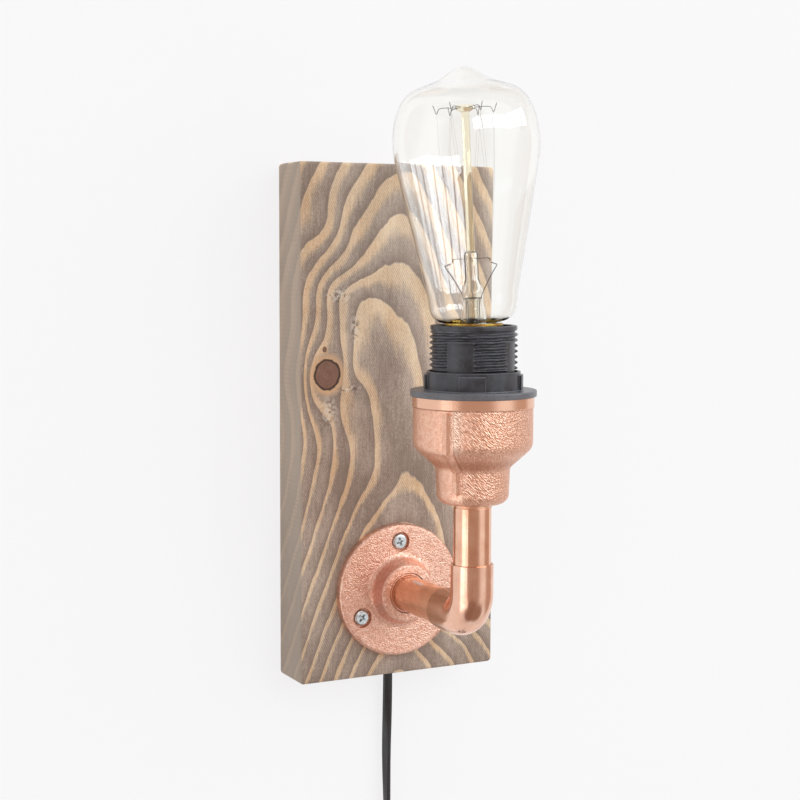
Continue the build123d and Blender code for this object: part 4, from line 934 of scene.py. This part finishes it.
# Screws: three in the flange, two in the hanger and two in the saddle at the back; seats are in mm, with the
# turn of the cross recess in degrees
screwRing, screwSeat = 23.9, lamp["boardFront"] - 2.1
screwForm = {"sides": 40, "shares": (0.85, 0.15), "tip": 0.3, "round": 0.48, "over": 0.05, "taper": 0.45}
screws = {
    "flange": {
        "head": 7.8, "rise": 2.2, "shank": 4.0, "length": 18.8, "cross": 4.4, "slot": 1.15, "deep": 1.7,
        "out": -1, "seats": [],
    },
    "hanger": {
        "head": 4.4, "rise": 0.5, "shank": 2.2, "length": 9.0, "cross": 2.4, "slot": 0.6, "deep": 0.4,
        "out": 1, "seats": [(-22.0, -0.6, 92.0, 20), (22.0, -0.6, 92.0, 70)],
    },
    "saddle": {
        "head": 4.4, "rise": 1.0, "shank": 2.2, "length": 8.0, "cross": 2.6, "slot": 0.65, "deep": 0.7,
        "out": 1, "seats": [(-3.2, -1.1, -118.5, 65), (11.6, -1.1, -118.5, 25)],
    },
}
for way, turn in ((90, 17), (210, 52), (330, 31)):
    spot = screwRing * heading(way, 0)
    screws["flange"]["seats"].append((lamp["x"] + spot.x, screwSeat, lamp["armZ"] + spot.y, turn))


def crossScrew(size):
    # pan head with a cross recess on a tapered shank, head up, seat at z 0
    f = screwForm
    head, rise = size["head"] * mm, size["rise"] * mm
    screw = begin(
        bpy.ops.mesh.primitive_cylinder_add, vertices=f["sides"], radius=head / 2, depth=rise,
        location=(0, 0, rise / 2),
    )
    setMode(mode="EDIT")
    pick(screw, "FACE", lambda f: f.normal.z < -0.9)
    bpy.ops.mesh.inset(thickness=(size["head"] - size["shank"]) / 2 * mm)
    for share in f["shares"]:
        pullUp(-size["length"] * share, faces=True)
    bpy.ops.transform.resize(value=(f["tip"], f["tip"], 1), center_override=(0, 0, -size["length"] * mm))
    pick(screw, "EDGE", lambda e: all(v.co.z > (size["rise"] - 0.01) * mm for v in e.verts))
    bpy.ops.mesh.bevel(offset=size["rise"] * f["round"] * mm, segments=5, profile=0.5)
    setMode(mode="OBJECT")
    for turn in (0, 90):
        middle = size["rise"] - size["deep"] / 2 + f["over"]
        cutter = block((size["cross"], size["slot"], size["deep"]), middle, turn)
        setMode(mode="EDIT")
        pick(cutter, "FACE", lambda f: f.normal.z < -0.9)
        bpy.ops.transform.resize(value=(f["taper"], f["taper"], 1), center_override=(0, 0, 0))
        takeUp(screw)
        cut = screw.modifiers.new("recess", "BOOLEAN")
        cut.operation = "DIFFERENCE"
        cut.solver = "EXACT"
        cut.object = cutter
        bpy.ops.object.modifier_apply(modifier=cut.name)
        bpy.data.objects.remove(cutter)
    return screw


for kind, size in screws.items():
    pattern = crossScrew(size)
    facing = Vector((0, size["out"], 0)).to_track_quat("Z", "Y").to_matrix().to_4x4()
    for index, (*seat, turn) in enumerate(size["seats"], 1):
        copy = pattern.copy()
        copy.data = pattern.data.copy()
        scene.collection.objects.link(copy)
        spin = Matrix.Rotation(math.radians(turn), 4, "Z")
        copy.matrix_world = Matrix.Translation(Vector(seat) * mm) @ facing @ spin
        node = f"{kind}_screw_{index}"
        finishPiece(copy, f"{kind}Screw{index}", zincSteel, "lamp", (node,), 40)
    bpy.data.objects.remove(pattern)
print("screws in")

# Holder sleeve: a cut helical thread, four smooth flats, a plain lip
sleeve = {
    "core": 18.4, "crest": 19.65, "bore": 17.3, "low": 8.0, "cutLow": 29.4, "threadLow": 30.2,
    "threadTop": 47.7, "rim": 50.3, "pitch": 2.5, "lip": 19.35, "flats": 4, "flatTurn": 221.0,
    "flatHalf": 19.0, "flatTop": 43.2, "flatEase": 1.5, "sides": 240, "rings": 102,
    "ridge": (0.38, 0.28), "runIn": 0.8, "runOut": (0.4, 0.9), "lipFrom": (0.1, 0.5), "lipRound": (0.35, 0.4),
}
s = sleeve


def sleeveRadius(angle, z):
    step = ((z - s["threadLow"]) / s["pitch"] - angle / (2 * math.pi)) % 1.0
    (half, slope), (past, fade) = s["ridge"], s["runOut"]
    ridge = clamp((half - abs(step - 0.5)) / slope)
    ridge *= clamp((z - s["threadLow"]) / s["runIn"]) * clamp((s["threadTop"] + past - z) / fade)
    turns = [math.degrees(angle) - s["flatTurn"] - 360 / s["flats"] * k for k in range(s["flats"])]
    fromFlat = min(abs((turn + 180) % 360 - 180) for turn in turns)
    if z < s["flatTop"]:
        ridge *= clamp((fromFlat - s["flatHalf"]) / s["flatEase"])
    radius = s["core"] + (s["crest"] - s["core"]) * ridge
    (start, ease), (least, curve) = s["lipFrom"], s["lipRound"]
    lip = clamp((z - s["threadTop"] - start) / ease) * max(least, min(1.0, (s["rim"] - z) / curve + least))
    return max(radius, s["core"] + (s["lip"] - s["core"]) * lip)


sleevePiece = threadedTube(s["core"], s["sides"], s["cutLow"], s["rim"], s["rings"], sleeveRadius)
setMode(mode="EDIT")
pick(sleevePiece, "EDGE", lambda e: all(v.co.z < (s["cutLow"] + 0.01) * mm for v in e.verts))
pullUp(s["low"] - s["cutLow"])
grow = s["bore"] / s["core"]
pullUp(0)
bpy.ops.transform.resize(value=(grow, grow, 1), center_override=(0, 0, s["low"] * mm))
pullUp(s["rim"] - s["low"])
pick(sleevePiece, "EDGE", lambda e: all(v.co.z > (s["rim"] - 0.01) * mm for v in e.verts))
bpy.ops.mesh.bridge_edge_loops()
facesOut()
sleevePiece.location = lampFoot * mm
finishPiece(sleevePiece, "holderSleeve", holderNylon, "lamp", ("holder_sleeve",), 50)
print("sleeve threaded")

# Bulb: everything in the glass stands on an axis that leans a little from the cap's top
bulb = {
    "glassZ": 51.8, "lean": 2.8, "leanTurn": 153.0, "wall": 0.55, "sides": 128,
    "neck": (11.7, -8.0), "neckTop": -3.0, "flareStart": -0.5, "flare": (17.0, 1.4), "coneLow": (20.5, 14.0),
    "coneTop": (30.8, 65.0), "crown": (32.5, 79.0), "dome": (24.2, 101.2), "tipBase": (11.0, 106.6),
    "tip": (0.05, 112.0), "steps": (10, 20, 12),
}
b = bulb
glassUp = heading(b["leanTurn"], 90 - b["lean"])
glassSide = heading(b["leanTurn"], -b["lean"])
glassAxes = Matrix((glassSide, glassUp.cross(glassSide), glassUp)).transposed().to_4x4()
bulbPlace = Matrix.Translation((lampFoot + Vector((0, 0, b["glassZ"]))) * mm) @ glassAxes


def smoothLine(points, firstWay, lastWay, steps):
    # a cubic through the points, smooth in slope and bend, with set end directions
    points = [Vector(p) for p in points]
    spans = [(b - a).length for a, b in zip(points, points[1:])]
    slopes = [Vector(firstWay).normalized()]
    slopes += [(points[i + 1] - points[i - 1]) / (spans[i] + spans[i - 1]) for i in range(1, len(points) - 1)]
    slopes.append(Vector(lastWay).normalized())
    for _ in range(60):
        for i in range(1, len(points) - 1):
            a, b = spans[i - 1], spans[i]
            pull = 3 * (b / a * (points[i] - points[i - 1]) + a / b * (points[i + 1] - points[i]))
            slopes[i] = (pull - b * slopes[i - 1] - a * slopes[i + 1]) / (2 * (a + b))
    line = []
    for i, span in enumerate(spans):
        for step in range(steps):
            t = step / steps
            line.append(
                points[i] * (2 * t ** 3 - 3 * t ** 2 + 1) + slopes[i] * span * (t ** 3 - 2 * t ** 2 + t)
                + points[i + 1] * (3 * t ** 2 - 2 * t ** 3) + slopes[i + 1] * span * (t ** 3 - t ** 2)
            )
    return [tuple(p) for p in line] + [tuple(points[-1])]


neckRadius = b["neck"][0]
(lowRadius, lowZ), (topRadius, topZ) = b["coneLow"], b["coneTop"]
coneWay = (topRadius - lowRadius, topZ - lowZ)
flareSteps, coneSteps, roofSteps = b["steps"]
outline = [b["neck"], (neckRadius, b["neckTop"])]
flare = [(neckRadius, b["flareStart"]), b["flare"], b["coneLow"]]
outline += smoothLine(flare, (1, 0.2), coneWay, flareSteps)
for step in range(1, coneSteps):
    outline.append((lowRadius + coneWay[0] * step / coneSteps, lowZ + coneWay[1] * step / coneSteps))
roof = [b[name] for name in ("coneTop", "crown", "dome", "tipBase", "tip")]
outline += smoothLine(roof, coneWay, (-1, 0), roofSteps)
glassPiece = turnRings(outline, b["sides"], closeTop=True)
thicken(glassPiece, b["wall"], even=True)
glassPiece.matrix_world = bulbPlace
finishPiece(glassPiece, "bulbGlass", bulbGlassLook, "bulb", ("bulb_glass",), 60)
for lit, state in ((onGlass, "INCLUDE"), (offGlass, "EXCLUDE")):
    lit.objects.link(glassPiece)
    lit.collection_objects[0].light_linking.link_state = state

# Stem: hollow flare with the pump tube in it, lumpy knot, flattened press; on it the rod with its button
stem = {
    "outer": ((10.8, -8.0), (10.6, -7.2), (7.2, -4.0), (6.0, -1.5), (5.6, 2.0), (5.2, 6.0), (4.6, 9.0),
              (4.7, 11.5), (4.9, 13.0), (4.6, 14.6), (3.6, 17.0), (3.1, 19.0), (3.1, 30.0), (2.7, 31.0),
              (1.2, 31.4)),
    "turn": 185.2, "pressFlat": 0.62, "pressLow": 14.0, "pressEase": 4.0, "wall": 0.9,
    "lumps": (0.13, 12.4, 1.8),
    "pump": ((2.0, -7.6), (1.9, 6.0), (2.1, 9.4), (3.0, 10.8)),
    "rod": ((1.2, 30.6), (1.75, 31.0), (1.8, 32.0), (1.8, 91.0), (2.0, 92.2), (3.6, 93.0), (4.3, 93.7),
            (4.4, 94.4), (4.0, 95.1), (2.4, 95.2)),
}
stemPiece = turnRings(stem["outer"], 64, closeTop=True)
lump, lumpZ, lumpTall = stem["lumps"]
for vertex in stemPiece.data.vertices:
    turn, z = math.atan2(vertex.co.y, vertex.co.x), vertex.co.z / mm
    swell = 1 + lump * math.sin(3 * turn + 0.6) * math.exp(-((z - lumpZ) / lumpTall) ** 2)
    press = 1 - (1 - stem["pressFlat"]) * clamp((z - stem["pressLow"]) / stem["pressEase"])
    vertex.co.x, vertex.co.y = vertex.co.x * swell, vertex.co.y * swell * press
thicken(stemPiece, stem["wall"])
stemPiece.matrix_world = bulbPlace @ Matrix.Rotation(math.radians(stem["turn"]), 4, "Z")
finishPiece(stemPiece, "bulbStem", stemGlassLook, "bulb", ("bulb_stem",), 60)
pumpPiece = turnRings(stem["pump"], 32)
thicken(pumpPiece, stem["wall"])
pumpPiece.matrix_world = bulbPlace
finishPiece(pumpPiece, "bulbPumpTube", stemGlassLook, "bulb", ("bulb_stem",), 60)
rodPiece = turnRings(stem["rod"], 48, closeTop=True, closeLow=True)
rodPiece.matrix_world = bulbPlace
finishPiece(rodPiece, "bulbRod", rodGlassLook, "bulb", ("bulb_stem",), 40)


def wirePiece(name, strands, thick, material, node):
    # bent wires, each drawn as a bevelled curve and made a mesh; strands are points in mm on the glass axis
    wire = nurbsLine(name, strands, 4)
    wire.data.bevel_depth = thick / 2 * mm
    wire.data.bevel_resolution = 3
    wire.data.use_fill_caps = True
    takeUp(wire)
    bpy.ops.object.convert(target="MESH")
    wire = bpy.context.object
    wire.matrix_world = bulbPlace
    return finishPiece(wire, name, material, "bulb", (node,), 60)


def spun(points, turn):
    c, s = math.cos(math.radians(turn)), math.sin(math.radians(turn))
    return [(x * c - y * s, x * s + y * c, z) for x, y, z in points]


# Supports: arms from the button and from the press, each bent into a hook for the filament; the arms are
# distance from the axis and height over the arm's root
hooks = {
    "count": 6, "topZ": 94.1, "lowZ": 27.9, "wire": 0.3,
    "topArm": ((3.4, 0), (6, 0), (9, 0.2), (11.2, 0), (11.9, -0.9), (12.3, -2.3), (12.8, -2.3), (13.3, -0.6),
               (14.1, 1.5)),
    "lowArm": ((2.0, 0), (4, 0), (7.4, 0.1), (9.2, 0), (9.8, -0.6), (9.5, -1.5)),
}
h = hooks
sector = 360 / h["count"]
topArm = [(out, 0, h["topZ"] + rise) for out, rise in h["topArm"]]
lowArm = [(out, 0, h["lowZ"] + rise) for out, rise in h["lowArm"]]
topArms = [spun(topArm, sector * k) for k in range(h["count"])]
lowArms = [spun(lowArm, sector * (k + 0.5)) for k in range(h["count"])]
wirePiece("upperSupport", topArms, h["wire"], wireNickel, "upper_support")
wirePiece("lowerSupport", lowArms, h["wire"], wireNickel, "lower_support")

# Filament: one thread up and down between the hooks, bowing out a little
filament = {"thick": 0.06, "top": (12.55, -2.1), "low": (9.7, -0.9), "bow": 12.2}
f = filament
topHook = (f["top"][0], 0, h["topZ"] + f["top"][1])
lowHook = (f["low"][0], 0, h["lowZ"] + f["low"][1])
bow = (f["bow"], 0, (h["topZ"] + h["lowZ"]) / 2)
thread = []
for k in range(h["count"]):
    for points, share in (([topHook, topHook], 0), ([bow], 0.25), ([lowHook, lowHook], 0.5), ([bow], 0.75)):
        thread += spun(points, sector * (k + share))
wirePiece("filamentThread", [thread[:-1]], f["thick"], carbon, "filament")

# Lead-in wires: up through the flare, out of the knot, and folded back to grip the filament
leadWire = [
    (2.9, 0, -7.0), (2.8, 0, 2.0), (2.9, 0, 10.0), (4.4, 0, 12.0), (5.6, 0, 14.5), (8.6, 0, 20.0),
    (11.2, 0, 23.9), (11.9, 0, 24.9), (11.2, 0, 25.3), (8.9, 0, 26.0),
]
for index, (turn, thick) in enumerate(((0, 0.5), (160, 0.4)), 1):
    strands = [spun(leadWire, turn)]
    wirePiece(f"leadWire{index}", strands, thick, wireNickel, f"lead_wire_{index}")

# Cap: rolled brass with a round helical thread
cap = {
    "low": 26.6, "top": 51.2, "crest": 13.1, "root": 12.2, "foot": 11.5, "pitch": 3.629, "fade": 1.5,
    "threadLow": 1.2, "threadTop": 4.2, "collar": 4.0, "sides": 120, "rings": 84, "wall": 0.4,
}


def capRadius(angle, z):
    up, down = z - cap["low"], cap["top"] - z
    wave = 0.5 + 0.5 * math.cos(2 * math.pi * (up / cap["pitch"] - angle / (2 * math.pi)))
    fade = clamp((up - cap["threadLow"]) / cap["fade"]) * clamp((down - cap["threadTop"]) / cap["fade"])
    collar = clamp((cap["collar"] - down) / cap["fade"])
    flare = clamp(up / cap["threadLow"])
    foot = cap["foot"] + (cap["root"] - cap["foot"]) * flare
    return foot + (cap["crest"] - cap["root"]) * max(wave * fade, collar)


capPiece = threadedTube(cap["root"], cap["sides"], cap["low"], cap["top"], cap["rings"], capRadius)
thicken(capPiece, cap["wall"])
capPiece.location = lampFoot * mm
finishPiece(capPiece, "bulbCap", sheetBrass, "bulb", ("bulb_cap",), 50)
print("bulb blown and capped")
